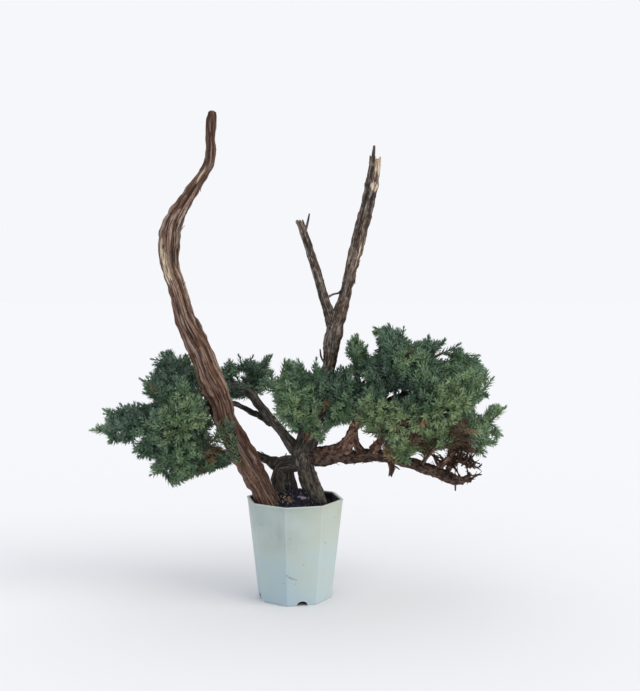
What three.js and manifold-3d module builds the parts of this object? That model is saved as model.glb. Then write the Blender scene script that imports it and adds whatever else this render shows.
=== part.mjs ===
// A small needle-leaved juniper in an eight-sided tapered pot. Millimetres, +Z up, the origin at
// the middle of the pot's foot, -Y towards the viewer. The plant is one piece of wood with leafy
// sprays seated on its twigs; it stands in the soil that fills the pot.

import * as THREE from 'three';
import { mergeVertices } from 'three/addons/utils/BufferGeometryUtils.js';
import Module from 'manifold-3d';

const wasm = await Module();
wasm.setup();

// ---------------------------------------------------------------- driving dimensions

const seatGap = 0.3; // between pieces that touch on the real plant

const pot = {
  height: 122,
  rimRadius: 59.9, // to the corners of the octagon
  footRadius: 46,
  turnDeg: 35.7, // of the corners, from -Y
  wall: 2.6,
  lipHeight: 2.4,
  lipReach: 0.7,
  lipEdge: 0.7, // rounding of the lip, inside and out
  skirtHeight: 6,
  floorThickness: 3,
  notches: 4,
  notchWidth: 12.5,
  notchHeight: 5.4,
  notchReach: 12,
  drainHoles: 4,
  drainHoleRadius: 4.5,
  drainCircleRadius: 21,
};

const soil = {
  edgeHeight: 110, // where the mix meets the pot's wall
  moundHeight: 21, // above that, between the stems
  moundCentre: [-4, 10],
  moundRadius: 31,
  sectors: 24,
  rings: 5,
  lump: 1.3,
  seed: 11,
};

const bark = {
  ringSpacing: 15,
  thickSpacing: 21, // on limbs that start out thicker than thickRadius
  thickRadius: 9,
  brokenTip: 0.45, // of the tip's radius, how far its point stands out
  fluteDepth: 0.1,
  twistPerMm: 0.012,
};

const needle = {
  length: 7.6,
  leanDeg: 47, // from the shoot's own axis
  rootRadius: 0.95,
  tipRadius: 0.15,
  whorlSpacing: 5.1,
  lengthSpread: 0.28, // of the length, from the shortest to the longest
  leanSpreadDeg: 10,
  shares: [1, 0.78, 0.58], // of the length, tried in turn where room is short
  budShare: 0.7, // of the length, at a shoot's end
};

const shoot = {
  coreRadius: 0.95,
  tipRadius: 0.6,
  stemRadius: 1.3,
  stemStep: 18,
  sag: 3,
  forkHeight: 3,
  forkShare: 0.6, // of the first bare step
  forkLeanDeg: 55,
  forkBow: 0.3, // of the way to the tip, along the fork's own heading
  forkEase: 0.4, // back towards the straight way
  mostLeafy: 0.75, // of a leading shoot
  leafyLength: 27, // of a leading shoot
  sideLength: 20,
  sideLeanDeg: 52,
  sideSpread: 0.75, // of the leafy length, where the side shoots stand
  sidesPerTip: 1,
  sidesPerLoneTip: 3,
  sideLengthSpread: 0.4,
  upturn: 0.12,
  clearance: 0.35,
  firstSeed: 100,
  farthest: [[-253, -84, 125], [257, 84, 346]], // the box that the side shoots' tips keep to
};

// ---------------------------------------------------------------- wood: centre lines and radii

// Each limb: [x, y, z, radius] from its root out to its tip.
const limbs = {
  tallStem: [
    [-18, -4, 84, 15], [-32, -10, 116, 15.1], [-44, -14, 144, 14.2], [-57, -18, 170, 13.9],
    [-71, -22, 196, 13.8], [-82, -25, 222, 12.9], [-87, -27, 244, 13.1], [-94, -28, 261, 14.2],
    [-102, -28, 278, 13.8], [-109, -26, 298, 13.3], [-118, -24, 316, 14.1], [-129, -19, 339, 12.2],
    [-137, -14, 364, 10.6], [-143, -10, 384, 9.4], [-149, -7, 400, 9.7], [-151, -4, 416, 11.1],
    [-151, -2, 432, 12.1], [-149, 0, 450, 11.9], [-143, 1, 465, 10.5], [-134, 2, 480, 8.8],
    [-123, 2, 497, 7.7], [-111, 0, 514, 6.1], [-103, -2, 527, 5.8], [-100, -4, 541, 5.9],
    [-100, -7, 559, 5.9], [-98, -10, 588, 6.1],
  ],
  centreStem: [
    [24, 6, 84, 12], [30, 8, 111, 10.6], [23, 6, 132, 9.4], [16, 3, 153, 9.6], [12, 1, 172, 11.4],
    [14, 0, 192, 11.7], [24, 6, 219, 10.5], [33, 10, 249, 9.8], [42, 12, 285, 8.6],
    [48, 12, 319, 10], [56, 11, 349, 8.4], [64, 8, 379, 7], [72, 6, 415, 8.1],
    [82, 3, 454, 8], [90, 0, 487, 7.5], [95, -2, 511, 7.3], [98, -3, 533, 6.3],
  ],
  backStem: [
    [-8, 18, 84, 14], [-12, 22, 110, 15.2], [-15, 22, 127, 14.8], [-17, 21, 142, 14.2],
    [-15, 18, 157, 11.6], [-2, 11, 161, 10.6], [10, 4, 164, 9.6],
  ],
  rootCrown: [
    [-28, -8, 86, 13], [-8, 4, 84, 15], [12, 8, 84, 14], [30, 8, 88, 10],
  ],
  snagFork: [
    [50, 12, 326, 6.6], [42, 14, 349, 6.4], [34, 16, 374, 5.4], [24, 19, 407, 5.4],
    [15, 21, 435, 4.9], [6, 23, 460, 4.7],
  ],
  lowLeftLimb: [
    [-14, 18, 156, 8.8], [-30, 22, 163, 6.4], [-45, 26, 168, 5.7], [-61, 28, 171, 5.2],
    [-79, 26, 170, 4.7], [-99, 20, 171, 4.2], [-118, 14, 178, 3.4], [-137, 8, 183, 2.7],
  ],
  archUpper: [
    [7, 2, 173, 7.8], [-8, 8, 191, 6.6], [-20, 16, 205, 6.2], [-33, 26, 218, 6.1],
    [-45, 36, 231, 5.9], [-57, 42, 245, 5.7], [-68, 44, 254, 5.3], [-82, 40, 258, 4.8],
    [-102, 32, 254, 4.2], [-121, 22, 245, 3.6], [-137, 12, 236, 2.8],
  ],
  archLower: [
    [-27, 20, 209, 5], [-42, 34, 217, 3.8], [-55, 38, 222, 3.4], [-67, 38, 229, 3.3],
    [-79, 36, 234, 3], [-97, 32, 230, 3], [-118, 22, 218, 2.7], [-144, 12, 208, 2.5], [-168, 4, 205, 2],
  ],
  rightLimb: [
    [14, 0, 170, 10.6], [31, -4, 172, 10.2], [46, -8, 175, 9.7], [60, -11, 175, 8.4],
    [75, -13, 174, 7.4], [92, -14, 176, 7.9], [111, -14, 174, 7], [133, -12, 169, 6.7],
    [153, -8, 162, 6.5], [172, -4, 156, 6.1], [189, 0, 149, 5.3], [204, 3, 144, 4.1],
    [217, 5, 142, 2.8],
  ],
  riser: [
    [57, -11, 174, 7.4], [65, -13, 191, 6.5], [71, -16, 208, 5.8], [77, -20, 224, 5],
    [86, -24, 243, 4.3], [98, -26, 260, 3.6], [110, -24, 274, 2.9],
  ],
  backRiser: [
    [72, -17, 211, 4.3], [87, 2, 225, 3.9], [108, 18, 236, 3.6], [133, 28, 245, 3.2],
    [159, 32, 249, 2.9], [181, 30, 244, 2.4],
  ],
  frontRiser: [
    [94, -14, 178, 5.6], [104, -26, 196, 4.3], [116, -36, 209, 3.5], [135, -42, 221, 3.1],
    [156, -40, 229, 2.7], [179, -32, 234, 2.1],
  ],
  endRiser: [[173, -4, 158, 4.1], [185, -6, 169, 3.6], [198, -6, 183, 3.1], [210, -4, 194, 2.4]],
  crownLimb: [
    [15, -1, 190, 7], [18, -14, 207, 5.3], [23, -26, 224, 4.3], [27, -32, 239, 3.6],
    [29, -32, 253, 2.6],
  ],
  crownRight: [[23, -25, 222, 3.3], [35, -24, 230, 2.9], [48, -16, 239, 2.4], [61, -14, 255, 1.6]],

  leftUpTwig: [[-121, 22, 245, 2.7], [-130, 16, 259, 2.3], [-141, 10, 274, 2], [-152, 6, 286, 1.5]],
  leftBackTwig: [[-102, 32, 254, 3], [-125, 44, 260, 2.5], [-147, 50, 262, 1.8]],
  leftFarTwig: [[-166, 5, 205, 2.1], [-187, 0, 205, 1.8], [-210, 2, 206, 1.3]],
  leftFrontTwig: [[-118, 22, 218, 2.6], [-126, 2, 212, 2.3], [-133, -14, 210, 1.9], [-147, -26, 209, 1.4]],
  leftLowTwig: [[-137, 8, 183, 2.4], [-150, 4, 173, 2.1], [-162, 2, 159, 1.5]],
  leftLowBackTwig: [[-118, 14, 178, 2.6], [-138, 32, 178, 2.2], [-158, 44, 179, 1.5]],
  backLeftTwig: [[-57, 42, 245, 3], [-61, 54, 259, 2.5], [-64, 62, 273, 1.8]],
  crownFrontTwig: [[18, -14, 207, 3.1], [10, -34, 220, 2.5], [4, -46, 234, 1.6]],
  crownLeftTwig: [[23, -26, 224, 2.7], [5, -22, 240, 2.3], [-13, -18, 253, 1.6]],
  middleBackTwig: [[33, 10, 249, 2.9], [24, 28, 253, 2.5], [12, 44, 259, 1.6]],
  riserTop: [[110, -24, 274, 2.9], [123, -14, 295, 2.3], [134, -8, 312, 1.6]],
  riserLeft: [[86, -24, 243, 2.9], [79, -20, 263, 2.4], [74, -16, 283, 1.6]],
  riserRight: [[98, -26, 260, 3.1], [127, -22, 272, 2.6], [156, -12, 288, 2.2], [179, -6, 300, 1.5]],
  backFarTwig: [[181, 30, 244, 2.4], [204, 20, 243, 1.6]],
  frontFarTwig: [[179, -32, 234, 2.5], [200, -28, 242, 2], [221, -18, 247, 1.4]],
  endFarTwig: [[210, -4, 194, 2.4], [223, -8, 205, 2.1], [234, -12, 216, 1.4]],
  backHighTwig: [[133, 28, 245, 3], [145, 46, 263, 2.5], [155, 59, 281, 1.7]],
  frontMidTwig: [[104, -26, 196, 2.9], [102, -44, 216, 2.3], [104, -55, 235, 1.5]],
  rightLowTwig: [[153, -8, 162, 2.7], [161, -20, 177, 2.2], [168, -31, 189, 1.4]],

  dropStub: [[117, -14, 173, 4.1], [118, -16, 161, 3.4], [116, -17, 152, 2.4]],
  dropTwig: [[117, -16, 164, 1.4], [123, -18, 163, 1.1], [127, -20, 160, 0.7]],
  endStub: [[196, -4, 172, 2.9], [206, -8, 167, 2.7], [215, -9, 161, 2.2]],
  endStubRoot: [[186, -3, 154, 3.6], [192, -4, 164, 3.2], [198, -5, 172, 2.8]],
  forkStub: [[207, 3, 144, 2.9], [213, 2, 148, 2.2], [216, 1, 151, 1.6]],
  hangTwig: [[197, 0, 149, 1.9], [197, -2, 139, 1.5], [197, -3, 131, 1]],
  forkTwig: [[12, 21, 446, 1.8], [16, 20, 460, 1.4], [18, 19, 470, 0.9]],
  snagSpike: [[95, -4, 522, 3.2], [95, -5, 538, 2.4], [96, -6, 549, 1.3]],
  hookTwig: [[36, 16, 365, 1.7], [47, 12, 371, 1.3], [54, 9, 373, 1.2], [59, 8, 379, 1]],
  riserNub: [[66, -13, 189, 2.6], [58, -15, 197, 1.6]],
  backNubLeft: [[-14, 18, 159, 2.4], [-12, 17, 171, 1.1]],
  backNubRight: [[-7, 14, 160, 2.4], [-5, 12, 170, 1.1]],
  baseTwig: [[43, 11, 279, 1.7], [33, 7, 293, 1.2], [31, 6, 304, 0.9]],
};

// ---------------------------------------------------------------- foliage: roots and leading tips

// Each spray: the point on a twig where it grows, and the tips of its leading shoots.
const sprays = {
  leftCrown: { root: [-146, 8, 280], tips: [[-164, 2, 302], [-152, 8, 305], [-179, 10, 292]] },
  leftInner: { root: [-115, 25, 247], tips: [[-119, 22, 282], [-134, 16, 298]] },
  leftOuter: { root: [-137, 12, 236], tips: [[-191, 4, 269], [-185, -12, 253]] },
  leftBack: { root: [-147, 50, 262], tips: [[-162, 50, 285], [-184, 58, 254]] },
  leftFront: { root: [-146, -26, 209], tips: [[-115, -46, 243], [-169, -48, 231]] },
  leftFarHigh: { root: [-187, 0, 205], tips: [[-215, 6, 238], [-235, -4, 233]] },
  leftFarTip: { root: [-209, 2, 206], tips: [[-254, 8, 204], [-224, -8, 189]] },
  leftFarBack: { root: [-168, 4, 205], tips: [[-204, 42, 220]] },
  leftFarFront: { root: [-177, 2, 205], tips: [[-199, -36, 213]] },
  leftLowOuter: { root: [-166, 5, 205], tips: [[-191, -6, 172]] },
  leftLow: { root: [-161, 2, 161], tips: [[-179, 8, 148], [-148, 0, 134]] },
  leftLowFront: { root: [-137, 8, 183], tips: [[-140, -40, 173]] },
  leftLowBack: { root: [-157, 44, 179], tips: [[-188, 62, 168], [-146, 58, 153]] },
  leftLowInner: { root: [-101, 19, 171], tips: [[-111, -2, 153]] },
  stemSprig: { root: [-111, 16, 176], tips: [[-73, -46, 219]], by: [-112, -34, 186] },

  backLeftLow: { root: [-68, 44, 254], tips: [[-85, 46, 290]] },
  backLeftHigh: { root: [-64, 62, 271], tips: [[-74, 60, 296], [-54, 68, 294], [-47, 84, 279]] },
  backLeftRight: { root: [-57, 42, 248], tips: [[-29, 40, 296]] },

  middleLeft: { root: [-12, -18, 251], tips: [[-37, -14, 269], [-11, -20, 296]] },
  middleLeftLow: { root: [2, -21, 242], tips: [[-25, -30, 235]] },
  middleTop: { root: [29, -32, 253], tips: [[4, -36, 296], [27, -16, 297], [12, -62, 282]] },
  middleFront: { root: [5, -46, 233], tips: [[-6, -78, 246], [-11, -58, 214]] },
  middleLow: { root: [20, -20, 215], tips: [[33, -46, 198]] },
  middleRight: { root: [60, -14, 253], tips: [[69, -22, 276]] },
  middleRightLow: { root: [48, -16, 239], tips: [[62, -30, 220], [50, -60, 256]] },
  middleRear: { root: [13, 44, 258], tips: [[-5, 70, 271], [44, 66, 256]] },

  topLeft: { root: [75, -17, 280], tips: [[76, -14, 324], [62, -28, 307]] },
  top: { root: [133, -8, 311], tips: [[114, 4, 336], [132, -14, 334], [94, -8, 332]] },
  topRight: { root: [156, -12, 288], tips: [[163, -4, 323], [183, -10, 319]] },
  rightHigh: { root: [176, -6, 299], tips: [[204, 6, 312], [227, 0, 297]] },
  rightTip: { root: [219, -19, 246], tips: [[244, 0, 272], [229, -40, 250]] },
  rightFar: { root: [232, -12, 214], tips: [[256, -16, 237], [255, -4, 197]] },
  rightUnder: { root: [214, -5, 197], tips: [[232, -14, 174]] },
  rightLowFront: { root: [167, -30, 188], tips: [[185, -58, 202]] },
  rightLowMid: { root: [128, -13, 170], tips: [[136, -47, 186]] },
  rightLowLeft: { root: [103, -37, 208], tips: [[81, -50, 212]] },
  frontLeft: { root: [105, -54, 234], tips: [[90, -80, 260]] },
  frontMid: { root: [135, -42, 221], tips: [[122, -82, 247]] },
  frontRight: { root: [156, -40, 229], tips: [[163, -78, 265]] },
  frontFar: { root: [179, -32, 234], tips: [[195, -68, 250]] },
  topFront: { root: [127, -22, 272], tips: [[126, -58, 300]] },
  backInner: { root: [108, 18, 236], tips: [[89, 46, 263]] },
  backTop: { root: [154, 58, 279], tips: [[134, 72, 307], [184, 80, 299]] },
  backRight: { root: [159, 32, 249], tips: [[186, 72, 255]] },
  backFar: { root: [201, 21, 242], tips: [[239, 46, 250]] },
  backLow: { root: [133, 28, 245], tips: [[146, 56, 205]] },
  backUnder: { root: [198, -6, 183], tips: [[210, 36, 198]] },
};

// ---------------------------------------------------------------- small tools

const radians = Math.PI / 180;

// A repeatable draw between 0 and 1 from a whole-number seed.
function seededDraw(seed) {
  let state = seed >>> 0;
  return () => {
    state = (state + 0x6d2b79f5) >>> 0;
    let mixed = state;
    mixed = Math.imul(mixed ^ (mixed >>> 15), mixed | 1);
    mixed ^= mixed + Math.imul(mixed ^ (mixed >>> 7), mixed | 61);
    return ((mixed ^ (mixed >>> 14)) >>> 0) / 4294967296;
  };
}

function vector(p) {
  return new THREE.Vector3(p[0], p[1], p[2]);
}

// A solid from corner points and triangles of point numbers, counter-clockwise from outside.
function solidOf(points, triangles) {
  const vertProperties = new Float32Array(points.length * 3);
  points.forEach((p, i) => vertProperties.set([p.x, p.y, p.z], i * 3));
  const triVerts = new Uint32Array(triangles.flat());
  return new wasm.Manifold(new wasm.Mesh({ numProp: 3, vertProperties, triVerts }));
}

// A solid from a closed three.js geometry, with its shared corners merged first.
function solidOfGeometry(geometry) {
  geometry.deleteAttribute('normal');
  geometry.deleteAttribute('uv');
  const merged = mergeVertices(geometry, 1e-4);
  const position = merged.getAttribute('position');
  const points = [];
  for (let i = 0; i < position.count; i += 1) {
    points.push(new THREE.Vector3().fromBufferAttribute(position, i));
  }
  const triangles = [];
  let volume = 0;
  for (let i = 0; i < merged.index.count; i += 3) {
    const [a, b, c] = [0, 1, 2].map((k) => merged.index.getX(i + k));
    if (a === b || b === c || c === a) continue;
    triangles.push([a, b, c]);
    volume += points[a].dot(points[b].clone().cross(points[c]));
  }
  if (volume < 0) triangles.forEach((t) => t.reverse());
  return solidOf(points, triangles);
}

// The largest body of a solid: loose scraps and sealed hollows are left behind.
function mainBody(solid) {
  const bodies = solid.decompose();
  return bodies.reduce((best, body) => (body.volume() > best.volume() ? body : best));
}

function joined(solids) {
  return solids.reduce((sum, solid) => sum.add(solid));
}

function pieceOf(name, solid, material) {
  const mesh = mainBody(solid).getMesh();
  const geometry = new THREE.BufferGeometry();
  const positions = new Float32Array((mesh.vertProperties.length / mesh.numProp) * 3);
  for (let i = 0; i < positions.length / 3; i += 1) {
    for (let k = 0; k < 3; k += 1) {
      positions[i * 3 + k] = mesh.vertProperties[i * mesh.numProp + k];
    }
  }
  geometry.setAttribute('position', new THREE.BufferAttribute(positions, 3));
  geometry.setIndex(new THREE.BufferAttribute(new Uint32Array(mesh.triVerts), 1));
  geometry.computeVertexNormals();
  const piece = new THREE.Mesh(geometry, material);
  piece.name = name;
  return piece;
}

// Two unit vectors square to a direction, the second carried on from the last ring's frame.
function nextFrame(direction, lastAcross) {
  const across = lastAcross.clone().addScaledVector(direction, -lastAcross.dot(direction)).normalize();
  const over = direction.clone().cross(across);
  return { across, over };
}

function firstAcross(direction) {
  const helper = Math.abs(direction.z) < 0.9 ? new THREE.Vector3(0, 0, 1) : new THREE.Vector3(1, 0, 0);
  return helper.cross(direction).normalize();
}

// ---------------------------------------------------------------- pot

const halfFlatDeg = 22.5; // half the turn from one corner to the next
const octagonFlat = Math.cos(halfFlatDeg * radians); // flat distance over corner distance

function potRadiusAt(z) {
  return pot.footRadius + ((pot.rimRadius - pot.footRadius) * z) / pot.height;
}

// A profile of [corner radius, height] pairs turned about +Z in eight flats.
function octagonal(profile) {
  const points = profile.map(([r, z]) => new THREE.Vector2(r, z));
  const geometry = new THREE.LatheGeometry(points, 8);
  geometry.rotateX(Math.PI / 2);
  geometry.rotateZ((pot.turnDeg - 90) * radians);
  return solidOfGeometry(geometry);
}

const potInside = (z) => potRadiusAt(z) - pot.wall / octagonFlat;
const potFloorTop = pot.skirtHeight + pot.floorThickness;

function makePot() {
  const lipUnder = pot.height - pot.lipHeight;
  const shell = octagonal([
    [0, pot.skirtHeight],
    [potInside(pot.skirtHeight), pot.skirtHeight],
    [potInside(0), 0],
    [pot.footRadius, 0],
    [potRadiusAt(lipUnder), lipUnder],
    [potRadiusAt(lipUnder) + pot.lipReach, lipUnder + pot.lipReach],
    [pot.rimRadius + pot.lipReach, pot.height - pot.lipEdge],
    [pot.rimRadius, pot.height],
    [potInside(pot.height) + pot.lipEdge, pot.height],
    [potInside(pot.height - pot.lipEdge), pot.height - pot.lipEdge],
    [potInside(potFloorTop), potFloorTop],
    [0, potFloorTop],
  ]);
  const cuts = [];
  for (let k = 0; k < pot.notches; k += 1) {
    const notch = new THREE.ExtrudeGeometry(notchOutline(), { depth: pot.notchReach, bevelEnabled: false });
    notch.rotateX(Math.PI / 2);
    notch.translate(0, pot.notchReach - pot.footRadius - pot.wall, 0);
    notch.rotateZ((pot.turnDeg - halfFlatDeg + (360 / pot.notches) * k) * radians);
    cuts.push(solidOfGeometry(notch));
  }
  for (let k = 0; k < pot.drainHoles; k += 1) {
    const drill = 2 * pot.skirtHeight;
    const hole = new THREE.CylinderGeometry(pot.drainHoleRadius, pot.drainHoleRadius, drill, 12);
    hole.rotateX(Math.PI / 2);
    hole.translate(pot.drainCircleRadius, 0, pot.skirtHeight + pot.floorThickness / 2);
    hole.rotateZ((pot.turnDeg + halfFlatDeg + (360 / pot.drainHoles) * k) * radians);
    cuts.push(solidOfGeometry(hole));
  }
  return cuts.reduce((body, cut) => body.subtract(cut), shell);
}

// A drain notch seen from outside: straight at the foot, its top corners taken off.
function notchOutline() {
  const half = pot.notchWidth / 2;
  const shoulder = [half * 0.86, pot.notchHeight * 0.62];
  const outline = new THREE.Shape();
  outline.moveTo(-half, -1);
  outline.lineTo(half, -1);
  outline.lineTo(shoulder[0], shoulder[1]);
  outline.lineTo(half / 2, pot.notchHeight);
  outline.lineTo(-half / 2, pot.notchHeight);
  outline.lineTo(-shoulder[0], shoulder[1]);
  outline.closePath();
  return outline;
}

// ---------------------------------------------------------------- wood

// The stations of a limb: centre, radius and frame, evenly spaced along a smooth curve.
function stationsOf(points) {
  const curve = new THREE.CatmullRomCurve3(points.map(vector), false, 'centripetal');
  const spans = points.length - 1;
  const spacing = points[0][3] > bark.thickRadius ? bark.thickSpacing : bark.ringSpacing;
  const stations = [];
  for (let i = 0; i < spans; i += 1) {
    const reach = vector(points[i]).distanceTo(vector(points[i + 1]));
    const steps = Math.max(1, Math.round(reach / spacing));
    for (let k = 0; k < steps; k += 1) stations.push((i + k / steps) / spans);
  }
  stations.push(1);
  let along = 0;
  let across = null;
  let last = null;
  return stations.map((t) => {
    const centre = curve.getPoint(t);
    const direction = curve.getTangent(t);
    across = nextFrame(direction, across ?? firstAcross(direction)).across;
    const { over } = nextFrame(direction, across);
    const place = Math.min(t * spans, spans - 1e-6);
    const span = Math.floor(place);
    const radius = THREE.MathUtils.lerp(points[span][3], points[span + 1][3], place - span);
    if (last) along += centre.distanceTo(last);
    last = centre;
    return { centre, direction, across, over, radius, along };
  });
}

// Fewer sides on thinner limbs: [thicker than this, sides].
const sideCounts = [[11.5, 10], [7, 8], [3.8, 6], [2.7, 4], [0, 3]];

function sidesFor(radius) {
  return sideCounts.find(([least]) => radius > least)[1];
}

// Fluted bark: long ribs that wind slowly round the limb.
function fluteAt(angle, along, depth) {
  const wind = along * bark.twistPerMm;
  const broad = Math.sin(3 * angle + wind * 2.1 + 0.7);
  const fine = Math.sin(5 * angle - wind * 1.3 + 2.2);
  return 1 + depth * (0.6 * broad + 0.4 * fine);
}

// One limb as a lofted tube; grow makes it fatter all over, for holes and seats.
function limbSolid(points, grow) {
  const stations = stationsOf(points);
  const sides = sidesFor(Math.max(points[0][3], points[1][3]));
  const depth = sides > 5 ? bark.fluteDepth : 0;
  const corners = [];
  stations.forEach((s) => {
    for (let k = 0; k < sides; k += 1) {
      const angle = (2 * Math.PI * k) / sides;
      const r = s.radius * fluteAt(angle, s.along, depth) + grow / Math.cos(Math.PI / sides);
      const corner = s.centre.clone();
      corner.addScaledVector(s.across, r * Math.cos(angle));
      corner.addScaledVector(s.over, r * Math.sin(angle));
      corners.push(corner);
    }
  });
  const first = stations[0];
  const final = stations[stations.length - 1];
  const foot = corners.push(first.centre.clone().addScaledVector(first.direction, -grow)) - 1;
  const peakReach = final.radius * bark.brokenTip + grow;
  const peak = final.centre.clone().addScaledVector(final.direction, peakReach);
  const tip = corners.push(peak) - 1;
  const triangles = [];
  for (let i = 0; i < stations.length - 1; i += 1) {
    for (let k = 0; k < sides; k += 1) {
      const a = i * sides + k;
      const b = i * sides + ((k + 1) % sides);
      triangles.push([a, b, b + sides], [a, b + sides, a + sides]);
    }
  }
  const lastRing = (stations.length - 1) * sides;
  for (let k = 0; k < sides; k += 1) {
    const next = (k + 1) % sides;
    triangles.push([foot, next, k], [lastRing + k, lastRing + next, tip]);
  }
  return solidOf(corners, triangles);
}

function woodSolid(grow) {
  return joined(Object.values(limbs).map((points) => limbSolid(points, grow)));
}

// ---------------------------------------------------------------- soil and the bits on it

// Height of the mix: highest between the stems, with low seeded lumps.
function soilHeight(x, y, draw) {
  const away = Math.hypot(x - soil.moundCentre[0], y - soil.moundCentre[1]);
  const mound = soil.moundHeight * Math.exp(-((away / soil.moundRadius) ** 2));
  return soil.edgeHeight + mound + soil.lump * (2 * draw - 1);
}

function octagonReach(angle, cornerRadius) {
  const fromCorner = (angle - (pot.turnDeg - 90) * radians) % (Math.PI / 4);
  const inFlat = fromCorner < 0 ? fromCorner + Math.PI / 4 : fromCorner;
  return (cornerRadius * octagonFlat) / Math.cos(inFlat - Math.PI / 8);
}

function soilFill() {
  const draw = seededDraw(soil.seed);
  const points = [];
  const triangles = [];
  const floor = potFloorTop + seatGap;
  const gap = seatGap / octagonFlat;
  const ringAt = (radiusOf, heightOf) => {
    const start = points.length;
    for (let k = 0; k < soil.sectors; k += 1) {
      const angle = (pot.turnDeg - 90) * radians + (2 * Math.PI * k) / soil.sectors;
      const reach = radiusOf(angle);
      const x = reach * Math.cos(angle);
      const y = reach * Math.sin(angle);
      points.push(new THREE.Vector3(x, y, heightOf(x, y)));
    }
    return start;
  };
  const bridge = (low, high) => {
    for (let k = 0; k < soil.sectors; k += 1) {
      const next = (k + 1) % soil.sectors;
      triangles.push([low + k, low + next, high + next], [low + k, high + next, high + k]);
    }
  };
  const bottom = ringAt((a) => octagonReach(a, potInside(floor) - gap), () => floor);
  const edgeRadius = potInside(soil.edgeHeight) - gap;
  const rings = [ringAt((a) => octagonReach(a, edgeRadius), () => soil.edgeHeight)];
  bridge(bottom, rings[0]);
  for (let i = 1; i < soil.rings; i += 1) {
    const share = 1 - i / soil.rings;
    rings.push(ringAt((a) => share * octagonReach(a, edgeRadius), (x, y) => soilHeight(x, y, draw())));
    bridge(rings[i - 1], rings[i]);
  }
  const under = points.push(new THREE.Vector3(0, 0, floor)) - 1;
  const top = points.push(new THREE.Vector3(0, 0, soilHeight(0, 0, 0.5))) - 1;
  const inner = rings[rings.length - 1];
  for (let k = 0; k < soil.sectors; k += 1) {
    const next = (k + 1) % soil.sectors;
    triangles.push([under, bottom + next, bottom + k], [inner + k, inner + next, top]);
  }
  return solidOf(points, triangles);
}

// A rounded lump, flattened and pressed a little into the mix.
function lumpSolid(place, size, seed) {
  const draw = seededDraw(seed);
  const geometry = new THREE.IcosahedronGeometry(1, 0);
  geometry.deleteAttribute('normal');
  geometry.deleteAttribute('uv');
  const merged = mergeVertices(geometry, 1e-4);
  const position = merged.getAttribute('position');
  for (let i = 0; i < position.count; i += 1) {
    const swell = 0.85 + 0.3 * draw();
    position.setXYZ(
      i,
      place[0] + position.getX(i) * size[0] * swell,
      place[1] + position.getY(i) * size[1] * swell,
      place[2] + position.getZ(i) * size[2] * swell,
    );
  }
  return solidOfGeometry(merged);
}

// ---------------------------------------------------------------- foliage

// Round-ended bars stand for wood, cores and needles while clearances are worked out.
const bars = [];

function addBar(owner, from, to, fromRadius, toRadius) {
  const middle = from.clone().add(to).multiplyScalar(0.5);
  bars.push({ owner, from, to, fromRadius, toRadius, middle, reach: from.distanceTo(to) / 2 });
}

function barClear(owners, from, to, fromRadius, toRadius) {
  const middle = from.clone().add(to).multiplyScalar(0.5);
  const reach = from.distanceTo(to) / 2;
  return bars.every((bar) => {
    if (owners.includes(bar.owner)) return true;
    const widest = Math.max(bar.fromRadius, bar.toRadius) + Math.max(fromRadius, toRadius);
    if (bar.middle.distanceTo(middle) > bar.reach + reach + widest + shoot.clearance) return true;
    const near = closestOnBars(from, to, bar.from, bar.to);
    const radius = THREE.MathUtils.lerp(fromRadius, toRadius, near.s);
    const other = THREE.MathUtils.lerp(bar.fromRadius, bar.toRadius, near.t);
    return near.distance > radius + other + shoot.clearance;
  });
}

// The shortest distance between two straight segments, and where along each it lies.
function closestOnBars(p1, q1, p2, q2) {
  const d1 = q1.clone().sub(p1);
  const d2 = q2.clone().sub(p2);
  const r = p1.clone().sub(p2);
  const a = d1.dot(d1);
  const e = d2.dot(d2);
  const f = d2.dot(r);
  const c = d1.dot(r);
  const b = d1.dot(d2);
  const denominator = a * e - b * b;
  let s = denominator > 1e-9 ? THREE.MathUtils.clamp((b * f - c * e) / denominator, 0, 1) : 0;
  let t = (b * s + f) / e;
  if (t < 0 || t > 1) {
    t = THREE.MathUtils.clamp(t, 0, 1);
    s = THREE.MathUtils.clamp((b * t - c) / a, 0, 1);
  }
  const near = p1.clone().addScaledVector(d1, s).distanceTo(p2.clone().addScaledVector(d2, t));
  return { distance: near, s, t };
}

// Every shoot is a slim core of three-cornered rings, each turned a sixth of a turn from the
// last. The faces between two rings that stand on the lower one can carry a needle or a child.
function shootAlong(stations, firstSide) {
  let across = firstSide;
  stations.forEach((s, i) => {
    const frame = nextFrame(s.direction, across);
    across = frame.across;
    s.corners = [0, 1, 2].map((k) => {
      const angle = (i + 2 * k) * (Math.PI / 3);
      const out = frame.across.clone().multiplyScalar(Math.cos(angle));
      out.addScaledVector(frame.over, Math.sin(angle));
      return s.centre.clone().addScaledVector(out, s.radius);
    });
  });
  return { stations, children: [] };
}

function faceOf(parent, step, side) {
  const [low, high] = [parent.stations[step], parent.stations[step + 1]];
  const corners = [low.corners[side], low.corners[(side + 1) % 3], high.corners[side]];
  const centre = new THREE.Vector3();
  corners.forEach((corner) => centre.addScaledVector(corner, 1 / 3));
  const out = centre.clone().sub(low.centre);
  out.addScaledVector(low.direction, -out.dot(low.direction)).normalize();
  return { corners, centre, out, direction: low.direction };
}

function headingFrom(face, leanDeg) {
  const heading = face.direction.clone().multiplyScalar(Math.cos(leanDeg * radians));
  return heading.addScaledVector(face.out, Math.sin(leanDeg * radians));
}

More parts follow.
